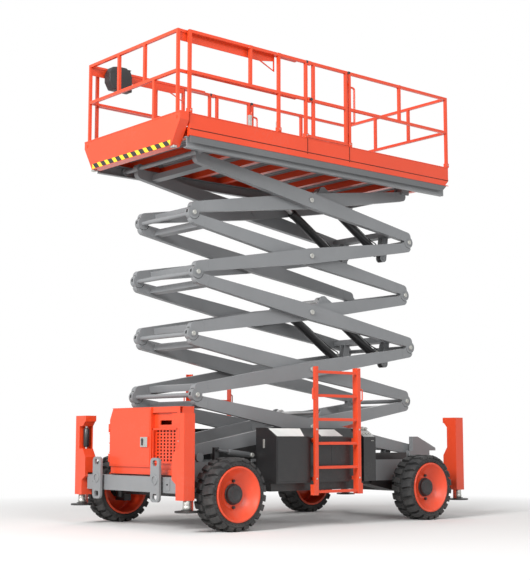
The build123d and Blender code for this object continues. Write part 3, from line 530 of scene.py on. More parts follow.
def repeat_tree(name, inputs, instances):
    """A shared Geometry Nodes tree with named inputs, whose instances are realized and painted."""
    if name in bpy.data.node_groups:
        return bpy.data.node_groups[name]
    tree = bpy.data.node_groups.new(name, "GeometryNodeTree")
    for label, kind, value in (*inputs, ("Finish", "Material", None)):
        socket = tree.interface.new_socket(label, in_out="INPUT", socket_type="NodeSocket" + kind)
        if value is not None:
            socket.default_value = value
    tree.interface.new_socket("Result", in_out="OUTPUT", socket_type="NodeSocketGeometry")

    def add(kind, values, **settings):
        """The first output of a node with its settings and its inputs made."""
        node = tree.nodes.new(kind)
        for key, value in settings.items():
            setattr(node, key, value)
        for key, value in values.items():
            if isinstance(value, bpy.types.NodeSocket):
                tree.links.new(value, node.inputs[key])
            else:
                node.inputs[key].default_value = value
        return node.outputs[0]

    entry = tree.nodes.new("NodeGroupInput").outputs
    realized = add("GeometryNodeRealizeInstances", {0: instances(add, entry)})
    coloured = add("GeometryNodeSetMaterial", {"Geometry": realized, "Material": entry["Finish"]})
    tree.links.new(coloured, tree.nodes.new("NodeGroupOutput").inputs[0])
    return tree


def heads_tree():
    """Tapered round or hexagonal heads on the points of a mesh, all facing one way."""
    def instances(add, entry):
        narrow = add("ShaderNodeMath", {0: entry["Radius"], 1: entry["Taper"]}, operation="MULTIPLY")
        head = add("GeometryNodeMeshCone", {
            "Vertices": entry["Sides"],
            "Radius Top": narrow,
            "Radius Bottom": entry["Radius"],
            "Depth": entry["Depth"],
        })
        turn = add("FunctionNodeAlignRotationToVector", {"Vector": entry["Direction"]}, axis="Z")
        return add("GeometryNodeInstanceOnPoints",
                   {"Points": entry["Points"], "Instance": head, "Rotation": turn})

    return repeat_tree("Heads on points", (
        ("Points", "Geometry", None),
        ("Radius", "Float", 0.01),
        ("Depth", "Float", 0.008),
        ("Taper", "Float", HEAD_TAPER),
        ("Sides", "Int", 6),
        ("Direction", "Vector", (0.0, 1.0, 0.0)),
    ), instances)


def around_tree():
    """One drawn piece repeated evenly round an axle that runs along Y."""
    def instances(add, entry):
        line = add("GeometryNodeMeshLine", {"Count": entry["Count"], "Offset": (0.0, 0.0, 0.0)})
        index = add("GeometryNodeInputIndex", {})
        share = add("ShaderNodeMath", {0: index, 1: entry["Count"]}, operation="DIVIDE")
        turn = add("ShaderNodeMath", {0: share, 1: math.tau, 2: entry["Start"]}, operation="MULTIPLY_ADD")
        angles = add("ShaderNodeCombineXYZ", {"Y": turn})
        ring = add("GeometryNodeInstanceOnPoints",
                   {"Points": line, "Instance": entry["Piece"], "Rotation": angles})
        return add("GeometryNodeTransform", {"Geometry": ring, "Translation": entry["Centre"]})

    return repeat_tree("Repeat round an axle", (
        ("Piece", "Geometry", None),
        ("Count", "Int", 8),
        ("Start", "Float", 0.0),
        ("Centre", "Vector", (0.0, 0.0, 0.0)),
    ), instances)


def row_tree():
    """One drawn piece repeated in equal steps along a line."""
    def instances(add, entry):
        line = add("GeometryNodeMeshLine", {"Count": entry["Count"], "Offset": entry["Step"]})
        return add("GeometryNodeInstanceOnPoints", {"Points": line, "Instance": entry["Piece"]})

    return repeat_tree("Repeat along a line", (
        ("Piece", "Geometry", None),
        ("Count", "Int", 8),
        ("Step", "Vector", (0.1, 0.0, 0.0)),
    ), instances)


def grown(name, mesh, tree, values, look, body, **more):
    """A piece whose plain mesh a tree makes from a base mesh."""
    base = placed(name + "_base", mesh)
    modifier = base.modifiers.new("Grow", "NODES")
    modifier.node_group = tree
    values = {**values, "Finish": material(look)}
    for item in tree.interface.items_tree:
        if item.in_out == "INPUT" and item.name in values:
            modifier[item.identifier] = values[item.name]
    result = plain_mesh(base)
    base.modifiers.remove(modifier)
    bpy.data.objects.remove(base)
    return keep(result, name, look, body, **more)


def heads(name, points, direction, radius, depth, look, body, sides=6, **more):
    """Bolt, rivet or pin heads at the given points, standing out along a direction."""
    mesh = bpy.data.meshes.new(name + "_points")
    mesh.from_pydata([tuple(point) for point in points], [], [])
    values = {
        "Radius": radius, "Depth": depth, "Taper": HEAD_TAPER, "Sides": sides, "Direction": tuple(direction),
    }
    return grown(name, mesh, heads_tree(), values, look, body, smooth=sides > ROUND_SIDES, **more)


def around(name, draw, count, centre, start, look, body, **more):
    """A drawn piece repeated round an axle at the given centre."""
    values = {"Count": count, "Start": start, "Centre": tuple(centre)}
    return grown(name, drawn(draw), around_tree(), values, look, body, **more)


def row(name, draw, count, step, look, body):
    """A drawn piece repeated along a line in equal steps."""
    return grown(name, drawn(draw), row_tree(), {"Count": count, "Step": tuple(step)}, look, body)


# ---------------------------------------------------------------- places read from the frame
def joint_place(name):
    """Where a joint's axis passes."""
    return Vector(JOINTS[name]["pos_m"])


STAGES = (1, 2, 3, 4, 5)
BASE_PIN = joint_place("stack_raise")
FRONT_PIN = joint_place("outer_pin_2")
PITCH = FRONT_PIN.z - BASE_PIN.z
ARM_SPAN = (FRONT_PIN - BASE_PIN).length
ARM_WIDTH = 0.072
ARM_OUTER_Y = {"outer": 0.588, "inner": 0.511}
DECK_LOW, DECK_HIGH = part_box("platform_deck")
TOE_Z = DECK_HIGH.z
FLOOR_Z = TOE_Z - 0.147
TOP_RAIL_Z = FLOOR_Z + 1.030
MID_RAIL_Z = FLOOR_Z + 0.595


def arm_matrix(kind, stage):
    """Local x along an arm from its lower pin, local y across the machine, local z to its upper edge."""
    forward = (stage % 2 == 1) == (kind == "outer")
    start = BASE_PIN + Vector((0, 0, (stage - 1) * PITCH))
    if not forward:
        start.x = FRONT_PIN.x
    end = start + Vector((0, 0, PITCH))
    end.x = FRONT_PIN.x if forward else BASE_PIN.x
    along = (end - start).normalized()
    across = Vector((0, 1, 0))
    up = along.cross(across)
    if up.z < 0:
        up.negate()
    matrix = Matrix((along, across, up)).transposed().to_4x4()
    matrix.translation = start
    return matrix


# ---------------------------------------------------------------- pieces
LOOKS = (
    # finish, CAD nodes that take it
    ("grey_low_paint", "chassis_frame front_bumper rear_bumper tie_plates"),
    ("grey_paint", "deck_tracks " + " ".join("outer_arms_%d inner_arms_%d" % (k, k) for k in STAGES)),
    ("orange_low_paint", "housing_shell housing_door left_ladder right_ladder"),
    ("orange_low_paint", "front_outriggers rear_outriggers"),
    ("orange_low_paint", "vent_grille " + " ".join(corner + "_rim" for corner, _, _ in CORNERS)),
    ("orange_paint", "platform_deck left_guardrail right_guardrail rear_guardrail left_gate right_gate"),
    ("orange_paint", "extension_deck extension_front_rail extension_rails"),
    ("black_paint", "left_cabinet right_cabinet control_box front_axle rear_axle left_knuckle right_knuckle"),
    ("black_paint", "power_pack lower_barrels middle_barrels upper_barrels outrigger_jacks"),
    ("black_plastic", "control_console"),
    ("bare_steel", "lower_rods middle_rods upper_rods"),
    ("zinc_plate", " ".join(corner + "_leg" for corner, _, _ in CORNERS)),
    ("tyre_rubber", " ".join(corner + "_tyre" for corner, _, _ in CORNERS)),
)


class LIFT_OT_finishes(bpy.types.Operator):
    """Gives every node of the frame its finish"""
    bl_idname = "lift.finishes"
    bl_label = "Finishes of the frame"

    def execute(self, context):
        for look, names in LOOKS:
            for name in names.split():
                NODES[name].data.materials.clear()
                NODES[name].data.materials.append(material(look))
        return {"FINISHED"}


TYRE_RADIUS = 0.376
TYRE_OUTER_Y = 1.170
TYRE_HALF = 0.150
RIM_RADIUS = 0.285
LUG_COUNT = 22
SIDE_DOTS = 44
SIDE_DOT_RADIUS = 0.307


class LIFT_OT_tyres(bpy.types.Operator):
    """Solid tyres with staggered shoulder lugs and a ring of dots on the side"""
    bl_idname = "lift.tyres"
    bl_label = "Tyres"

    def execute(self, context):
        for corner, _, sign in CORNERS:
            hub = joint_place(corner + "_wheel_spin")
            centre = Vector((hub.x, sign * (TYRE_OUTER_Y - TYRE_HALF), hub.z))
            body = corner + "_wheel"
            node = corner + "_tyre"
            piece(corner + "_carcass", lambda bm: self.carcass(bm, centre), "tyre_rubber", body,
                  smooth=True, stands_for=node)
            for label, way in SIDES:
                start = 0.0 if way == sign else math.pi / LUG_COUNT
                around("%s_lugs_%s" % (corner, label), lambda bm: self.lug(bm, way), LUG_COUNT,
                       centre, start, "tyre_rubber", body, stands_for=node)
            dots = []
            for step in range(SIDE_DOTS):
                z, x = circle_point(SIDE_DOT_RADIUS, math.tau * step / SIDE_DOTS)
                dots.append(centre + Vector((x, sign * (TYRE_HALF - 0.0095), z)))
            heads(corner + "_side_dots", dots, (0, sign, 0), 0.0055, 0.003, "dark_hollow", body, 8,
                  slot="tyre_rubber", stands_for=node)
        return {"FINISHED"}

    @staticmethod
    def carcass(bm, centre):
        """Tread band, rounded shoulders, stepped side rings and the bead on the rim."""
        side = [
            (radius + out, TYRE_HALF - inboard)
            for radius, out, inboard in (
                (RIM_RADIUS, 0.001, 0.030), (RIM_RADIUS, 0.004, 0.012), (RIM_RADIUS, 0.014, 0.006),
                (RIM_RADIUS, 0.020, 0.010), (RIM_RADIUS, 0.044, 0.008), (RIM_RADIUS, 0.050, 0.014),
                (TYRE_RADIUS, -0.036, 0.024), (TYRE_RADIUS, -0.030, 0.040),
            )
        ]
        profile = side + [(radius, -y) for radius, y in reversed(side)]
        lathe_into(bm, profile + profile[:1], centre, (0, 1, 0), 72)

    @staticmethod
    def lug(bm, way):
        """One lug: a tread bar that turns over the shoulder and runs down the side."""
        outline = (
            (TYRE_RADIUS - 0.034, 0.012),
            (TYRE_RADIUS - 0.002, 0.016),
            (TYRE_RADIUS, 0.026),
            (TYRE_RADIUS, TYRE_HALF - 0.034),
            (TYRE_RADIUS - 0.008, TYRE_HALF - 0.012),
            (TYRE_RADIUS - 0.024, TYRE_HALF),
            (RIM_RADIUS + 0.052, TYRE_HALF),
            (RIM_RADIUS + 0.048, TYRE_HALF - 0.016),
            (TYRE_RADIUS - 0.040, TYRE_HALF - 0.030),
        )
        wide = math.pi * TYRE_RADIUS / LUG_COUNT * 0.66
        crown = TYRE_RADIUS - 0.010
        slant = 0.18
        rings = []
        for turn in (-1, 1):
            ring = []
            for radius, y in outline:
                reach = wide * (0.86 if radius > crown else 1.0) * radius / TYRE_RADIUS
                angle = (turn * reach + (TYRE_HALF - y) * slant) / radius
                ring.append(bm.verts.new((radius * math.sin(angle), way * y, radius * math.cos(angle))))
            rings.append(ring)
        skin_into(bm, rings)
        bm.faces.new(rings[0])
        bm.faces.new(rings[1][::-1])


HUB_FACE_Y = 1.062
RIM_LIP_Y = TYRE_OUTER_Y - 0.001
RIM_SECTION = (
    # a flat hub disc, a deep cone, the rolled lip, and the barrel behind them
    (0.0, HUB_FACE_Y), (0.138, HUB_FACE_Y), (0.150, 1.066), (0.252, 1.150),
    (0.260, RIM_LIP_Y - 0.006), (0.268, RIM_LIP_Y), (0.280, RIM_LIP_Y), (RIM_RADIUS, RIM_LIP_Y - 0.004),
    (RIM_RADIUS, 0.874), (0.268, 0.872), (0.262, 0.880), (0.258, 1.120),
    (0.246, 1.130), (0.152, 1.056), (0.138, 1.053), (0.0, 1.053),
)
HUB_CAP = (
    (0.0, 0.0), (0.108, 0.0), (0.108, 0.008), (0.101, 0.012), (0.099, 0.038),
    (0.089, 0.050), (0.060, 0.053), (0.054, 0.049), (0.0, 0.049),
)
NUT_CIRCLE = 0.134
CAP_BOLT_CIRCLE = 0.076


class LIFT_OT_hubs(bpy.types.Operator):
    """Dished rims, and black drive hubs with a stepped cap, its bolts and the wheel nuts"""
    bl_idname = "lift.hubs"
    bl_label = "Rims and hubs"

    def execute(self, context):
        for corner, _, sign in CORNERS:
            body = corner + "_wheel"
            hub = joint_place(corner + "_wheel_spin")
            foot = Vector((hub.x, sign * HUB_FACE_Y, hub.z))
            axis = (0, sign, 0)
            turned(corner + "_dish", RIM_SECTION, (hub.x, 0, hub.z), axis, 72, "orange_low_paint", body,
                   stands_for=corner + "_rim")
            turned(corner + "_hub_cap", HUB_CAP, foot, axis, 48, "black_plastic", body)
            nuts = [foot + Vector((0.0, 0.006 * sign, turn * NUT_CIRCLE)) for turn in BOTH]
            heads(corner + "_wheel_nuts", nuts, axis, 0.017, 0.022, "black_plastic", body)
            bolts = []
            for step in range(8):
                x, z = circle_point(CAP_BOLT_CIRCLE, math.radians(45 * step + 22.5))
                bolts.append(foot + Vector((x, 0.050 * sign, z)))
            heads(corner + "_cap_bolts", bolts, axis, 0.007, 0.006, "black_plastic", body)
        return {"FINISHED"}


PIN_HEAD_DEPTH = 0.010
PIN_HEAD = (
    # shares of the head's radius and of its depth
    (0.0, 0.0), (1.0, 0.0), (1.0, 0.7), (0.88, 1.0), (0.35, 1.0), (0.30, 0.55), (0.0, 0.55),
)
KNUCKLE_RADII = (0.0696, 0.0710)
SEAM_DISTANCE = 0.155


class LIFT_OT_arm_pins(bpy.types.Operator):
    """Silver pin heads, weld seams at the knuckles, and painted shade and a painted highlight on the arms'
    round ends
    """
    bl_idname = "lift.arm_pins"
    bl_label = "Arm pins and seams"

    def execute(self, context):
        radius = sizes().pin_head_radius
        for kind, skin in ARM_OUTER_Y.items():
            for stage in STAGES:
                matrix = arm_matrix(kind, stage)
                body = "%s_arms_%d" % (kind, stage)
                self.seams(matrix, body, skin)
                if kind == "outer":
                    centre = matrix @ Vector((ARM_SPAN / 2, 0, 0))
                    self.pair(body + "_centre_head", centre, skin, radius * 1.15, body)
                if stage < STAGES[-1]:
                    end = matrix @ Vector((ARM_SPAN, 0, 0))
                    self.pair(body + "_end_head", end, skin, radius, body)
                    self.nose(body, end, skin)
        return {"FINISHED"}

    @staticmethod
    def nose(body, end, skin):
        """A dark arc painted as the shade inside the slot, and a bright arc painted as the highlight on top,
        on the round end between the knuckle's ears.
        """
        way = 1 if end.x > 0 else -1
        # the slot arc is painted shade in near black, the other arc is a painted highlight in plated steel
        for label, angles, look in (("slot", (-4, 24), "dark_hollow"), ("strip", (48, 96), "zinc_plate")):
            def draw(bm):
                for side in BOTH:
                    y = span(side, skin - 0.024, skin - 0.048)
                    arc_into(bm, end, way, y, KNUCKLE_RADII, angles)
            piece("%s_nose_%s" % (body, label), draw, look, body)

    @staticmethod
    def pair(name, centre, skin, radius, body):
        """One turned pin head on the left face and one on the right face."""
        profile = [(radius * out, PIN_HEAD_DEPTH * rise) for out, rise in PIN_HEAD]

        def draw(bm):
            for side in BOTH:
                lathe_into(bm, profile, (centre.x, side * (skin + 0.0075), centre.z), (0, side, 0), 32)
        piece(name, draw, "zinc_plate", body, smooth=True)

    @staticmethod
    def seams(matrix, body, skin):
        """A raised weld bead round each arm where the cast knuckle meets the box tube."""
        def draw(bm):
            for distance in (SEAM_DISTANCE, ARM_SPAN - SEAM_DISTANCE):
                height = 0.062 * (1 - 2 * distance / ARM_SPAN)
                deep = 0.0575 + 0.0325 * min(distance, ARM_SPAN - distance) / (ARM_SPAN / 2)
                for side in BOTH:
                    for y in (skin - 0.0015, skin - ARM_WIDTH - 0.0015):
                        low = (distance - 0.003, side * y, height - deep + 0.004)
                        high = (distance + 0.003, side * (y + 0.003), height + deep - 0.004)
                        box_into(bm, low, high, 0.0008, matrix)
        piece(body + "_weld_beads", draw, "grey_paint", body)


GLAND = (
    (0.0565, 0.0), (0.0565, 0.046), (0.053, 0.052), (0.040, 0.054), (0.040, 0.050), (0.0525, 0.0),
    (0.0565, 0.0),
)
BASE_COLLAR = (
    (0.030, 0.0), (0.050, 0.0), (0.0545, 0.006), (0.0545, 0.018), (0.050, 0.024), (0.030, 0.024),
    (0.030, 0.0),
)
PORT = ((0.0, 0.0), (0.016, 0.0), (0.016, 0.016), (0.010, 0.018), (0.010, 0.034), (0.0, 0.034))
AXLE_LOCK = (
    (0.0, 0.0), (0.024, 0.0), (0.030, 0.010), (0.030, 0.300), (0.022, 0.310), (0.014, 0.312),
    (0.014, 0.433), (0.0, 0.433),
)
LOCK_PIN = ((0.0, 0.0), (0.024, 0.0), (0.024, 0.088), (0.020, 0.092), (0.0, 0.092))
CYLINDER_Y = 0.350
LOCK_Y = 0.735


class LIFT_OT_cylinders(bpy.types.Operator):
    """Glands, ports, pipes and collars of the lift cylinders, the axle locks and the tank"""
    bl_idname = "lift.cylinders"
    bl_label = "Lift cylinder fittings"

    def execute(self, context):
        for lift in ("lower", "middle", "upper"):
            body = lift + "_barrels"
            foot = joint_place(lift + "_cylinder_foot")
            axis = Vector(JOINTS[lift + "_cylinder_stroke"]["axis"]).normalized()
            up = axis.cross(Vector((0, 1, 0)))
            up = up if up.z > 0 else -up
            length = (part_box(body)[1].z - foot.z - 0.052 * abs(axis.x)) / axis.z
            for side_name, side in SIDES:
                name = "%s_%s" % (lift, side_name)
                base = foot + Vector((0, side * CYLINDER_Y, 0))
                turned(name + "_gland", GLAND, base + axis * (length - 0.046), axis, 40, "black_paint", body)
                turned(name + "_base_collar", BASE_COLLAR, base + axis * 0.098, axis, 40,
                       "black_paint", body)
                port = base + axis * 0.16 + up * 0.048
                turned(name + "_port", PORT, port, up, 6, "zinc_plate", body, smooth=False)
                pipe = [
                    port + up * 0.030, port + up * 0.044, port + up * 0.046 + axis * 0.03,
                    base + up * 0.062 + axis * 0.30, base + up * 0.062 + axis * (length - 0.12),
                    base + up * 0.054 + axis * (length - 0.06),
                ]
                tube(name + "_pipe", pipe, 0.007, "black_plastic", body)
        self.axle_locks()
        return {"FINISHED"}

    @staticmethod
    def axle_locks():
        """The locking cylinders over the front axle, the trays beside the stack's foot and the tank."""
        for side_name, side in SIDES:
            name = side_name + "_axle_lock"
            low, high = Vector((1.030, side * LOCK_Y, 0.766)), Vector((1.460, side * LOCK_Y, 0.818))
            # the lock takes the darker copy of the stack grey, which is painted shade
            turned(name, AXLE_LOCK, low, (high - low).normalized(), 32, "channel_paint", "chassis")
            boxes(name + "_mounts", (
                ((0.995, 1.060), (0.664, 0.705), (0.660, 0.800)),
                ((1.430, 1.490), (0.664, 0.705), (0.660, 0.850)),
                ((-1.500, -0.520), (0.635, 0.655), (0.6945, 0.775)),
            ), "black_paint", "chassis", bevel=0.003, sides=(side,))
            turned(name + "_pins", LOCK_PIN, (low.x, side * 0.690, low.z), (0, side, 0), 28,
                   "zinc_plate", "chassis")
        outline = ((-0.965, 0.530), (-0.860, 0.410), (-1.300, 0.320), (-1.340, 0.530))
        piece("fluid_tank", lambda bm: plate_into(bm, outline, 0.430, 0.660, "y"), "black_paint", "chassis")


DOOR_KNOB = ((0.0, 0.0), (0.020, 0.0), (0.020, 0.004), (0.017, 0.006), (0.0, 0.006))
VENT_STRIP = 0.014


class LIFT_OT_housing(bpy.types.Operator):
    """Rolled edges, the door's skin, rivets and latch, the frame of the vent, and painted shade behind the
    vent
    """
    bl_idname = "lift.housing"
    bl_label = "Front housing"

    def execute(self, context):
        low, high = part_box("housing_shell")
        face = high.x - 0.030
        self.shell(low, high, face)
        self.door(low)
        heights = (low.z + 0.10, (low.z + high.z) / 2, high.z - 0.11)
        edge = [(face + 0.004, high.y - 0.022, z) for z in heights]
        heads("housing_bolts", edge, (1, 0, 0), 0.009, 0.006, "zinc_plate", "chassis")
        door_low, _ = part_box("housing_door")
        seam = [(door_low.x + 0.019, door_low.y + 0.012, door_low.z + 0.05 + 0.1 * step) for step in range(5)]
        heads("door_rivets", seam, (1, 0, 0), 0.005, 0.003, "orange_low_paint", "housing_door", 16)
        return {"FINISHED"}

    @staticmethod
    def shell(low, high, face):
        """Lips on the shell's edges, the frame round the vent, and a near-black plate behind it as painted
        shade.
        """
        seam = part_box("housing_door")[1].y + 0.002
        proud = (face, face + 0.005)
        boxes("housing_lips", (
            ((low.x, face + 0.004), (low.y + 0.062, high.y), (high.z, high.z + 0.006)),
            (proud, (seam, high.y), (high.z - 0.055, high.z)),
            (proud, (high.y - 0.045, high.y), (low.z, high.z - 0.055)),
            (proud, (seam, high.y - 0.045), (low.z, low.z + 0.055)),
        ), "orange_low_paint", "chassis", bevel=0.002)
        vent_low, vent_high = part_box("vent_grille")
        x = (face, face + 0.004)
        y = (vent_low.y - 0.012, vent_high.y + 0.012)
        z = (vent_low.z - 0.012, vent_high.z + 0.012)
        boxes("vent_frame", (
            (x, (y[0], y[0] + VENT_STRIP), z),
            (x, (y[1] - VENT_STRIP, y[1]), z),
            (x, y, (z[0], z[0] + VENT_STRIP)),
            (x, y, (z[1] - VENT_STRIP, z[1])),
        ), "orange_low_paint", "chassis", bevel=0.0015)
        # a near-black plate behind the grille: painted shade of the housing's inside
        boxes("vent_back", ((
            (vent_low.x - 0.012, vent_low.x - 0.006), (vent_low.y - 0.004, vent_high.y + 0.004),
            (vent_low.z - 0.004, vent_high.z + 0.004),
        ),), "dark_hollow", "chassis")

    @staticmethod
    def door(low):
        """The door's pressed skin and its latch."""
        door_low, door_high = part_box("housing_door")
        face = door_low.x + 0.019
        y = (door_low.y + 0.024, door_high.y - 0.018)
        z = (door_low.z + 0.018, door_high.z - 0.018)
        outline = ((y[0], z[0]), (y[1], z[0]), (y[1], z[1]), (y[0] + 0.050, z[1]), (y[0], z[1] - 0.102))
        piece("door_skin", lambda bm: plate_into(bm, outline, face - 0.002, face + 0.004),
              "orange_low_paint", "housing_door")
        y, z = door_high.y - 0.168, low.z + 0.287
        boxes("door_latch_plate", (
            ((face + 0.012, face + 0.022), (y, y + 0.126), (z, z + 0.106)),
        ), "zinc_plate", "housing_door", bevel=0.004)

        def handle(bm):
            lathe_into(bm, DOOR_KNOB, (face + 0.021, y + 0.040, z + 0.074), (1, 0, 0), 28)
            box_into(bm, (face + 0.020, y + 0.030, z + 0.018), (face + 0.030, y + 0.052, z + 0.062), 0.003)
        piece("door_latch_handle", handle, "black_plastic", "housing_door")


TIE_PLATE_Y = 0.545
TIE_RING = (
    (0.036, 0.0), (0.052, 0.0), (0.052, 0.006), (0.048, 0.009), (0.036, 0.009), (0.036, 0.0),
)
TIE_OUTLINES = (
    # height over the middle, half width, half height, corner radius
    (0.0, 0.0755, 0.223, 0.042),
    (0.170, 0.041, 0.031, 0.024),
    (-0.170, 0.041, 0.031, 0.024),
)
TIE_EDGE = 0.002


class LIFT_OT_bumpers(bpy.types.Operator):
    """Tie-down plates with their rings and welds, and the bolted pads at the bumper's ends"""
    bl_idname = "lift.bumpers"
    bl_label = "Bumpers"

    def execute(self, context):
        plate_low, plate_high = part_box("tie_plates")
        bar_low, bar_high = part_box("front_bumper")
        bar_face = bar_high.x - 0.030
        plate_face = plate_high.x - 0.012
        middle = (plate_low.z + plate_high.z) / 2

        def rings(bm):
            for side in BOTH:
                lathe_into(bm, TIE_RING, (plate_face, side * TIE_PLATE_Y, middle), (1, 0, 0), 48)
        piece("tie_plate_rings", rings, "grey_low_paint", "chassis", smooth=True)
        self.tie_plates(plate_low.x, plate_face, middle)
        boxes("bumper_pads", (
            ((bar_face, bar_face + 0.006), (0.655, 0.735), (bar_low.z + 0.024, bar_high.z - 0.024)),
        ), "grey_low_paint", "chassis", bevel=0.002, sides=BOTH)
        bolts = [(bar_face + 0.006, side * 0.695, (bar_low.z + bar_high.z) / 2) for side in BOTH]
        heads("bumper_bolts", bolts, (1, 0, 0), 0.010, 0.006, "dark_hollow", "chassis")
        boxes("tie_plate_welds", [
            ((bar_face - 0.001, plate_low.x + 0.004), about(y, 0.003),
             (bar_high.z - 0.068, bar_high.z + 0.008))
            for y in about(TIE_PLATE_Y, 0.030)
        ], "grey_low_paint", "chassis", bevel=0.001, sides=BOTH)
        return {"FINISHED"}

    @staticmethod
    def tie_plates(rear, front, middle):
        """Two thick plates with round corners and a rounded slot at each end."""
        curve = bpy.data.curves.new("tie_plate_outline", "CURVE")
        curve.dimensions = "2D"
        curve.fill_mode = "BOTH"
        curve.extrude = (front - rear) / 2 - TIE_EDGE
        curve.bevel_depth = TIE_EDGE
        for side in BOTH:
            for rise, half_width, half_height, radius in TIE_OUTLINES:
                corners = []
                for quarter, (y, z) in enumerate(((1, 1), (-1, 1), (-1, -1), (1, -1))):
                    for step in range(7):
                        out, up = circle_point(radius, math.radians(90 * quarter + 15 * step))
                        corners.append((side * TIE_PLATE_Y + y * (half_width - radius) + out,
                                        rise + z * (half_height - radius) + up))
                spline = curve.splines.new("POLY")
                spline.points.add(len(corners) - 1)
                for point, (y, z) in zip(spline.points, corners):
                    point.co = (y, z, 0.0, 1.0)
                spline.use_cyclic_u = True
        holder = placed("tie_plate_outline", curve)
        flat = plain_mesh(holder)
        bpy.data.objects.remove(holder)

        upright = Matrix(((0, 0, 1, (front + rear) / 2), (1, 0, 0, 0), (0, 1, 0, middle), (0, 0, 0, 1)))

        def pair(bm):
            bm.from_mesh(flat)
            bmesh.ops.remove_doubles(bm, verts=bm.verts, dist=0.00005)
            bm.transform(upright)
        piece("tie_plate_pair", pair, "grey_low_paint", "chassis", stands_for="tie_plates")


SLOPE_DROP = 0.100
SLOPE_RUN = 0.170
CABINET_Y = 1.100
RECESS_Y = 1.060
BUTTON_CAP = ((0.0, 0.0), (0.017, 0.0), (0.017, 0.010), (0.014, 0.014), (0.0, 0.014))
BUTTON_STEM = (
    (0.0, 0.0), (0.012, 0.0), (0.012, 0.022), (0.019, 0.024), (0.019, 0.034), (0.015, 0.038), (0.0, 0.038),
)


def slope_point(outer_y, top_z, share, lift):
    """A point on a cabinet's sloped upper edge, 0 at its lower side, lifted off it."""
    length = math.hypot(SLOPE_DROP, SLOPE_RUN)
    out = (SLOPE_DROP / length * lift, SLOPE_RUN / length * lift)
    return outer_y - SLOPE_RUN * share + out[0], top_z - SLOPE_DROP * (1 - share) + out[1]


def sloped_plate(bm, side, outer_y, top_z, x, shares, lift, thickness, skew=(0.0, 0.0)):
    """A thin plate on a cabinet's slope; its rear and front ends lean in by skew towards the top."""
    rings = []
    for height in (lift, lift + thickness):
        ring = []
        for place_x, share in (
            (x[0], shares[0]), (x[1], shares[0]), (x[1] - skew[1], shares[1]), (x[0] + skew[0], shares[1]),
        ):
            y, z = slope_point(outer_y, top_z, share, height)
            ring.append(bm.verts.new((place_x, side * y, z)))
        rings.append(ring)
    skin_into(bm, rings)
    bm.faces.new(rings[0][::-1])
    bm.faces.new(rings[1])


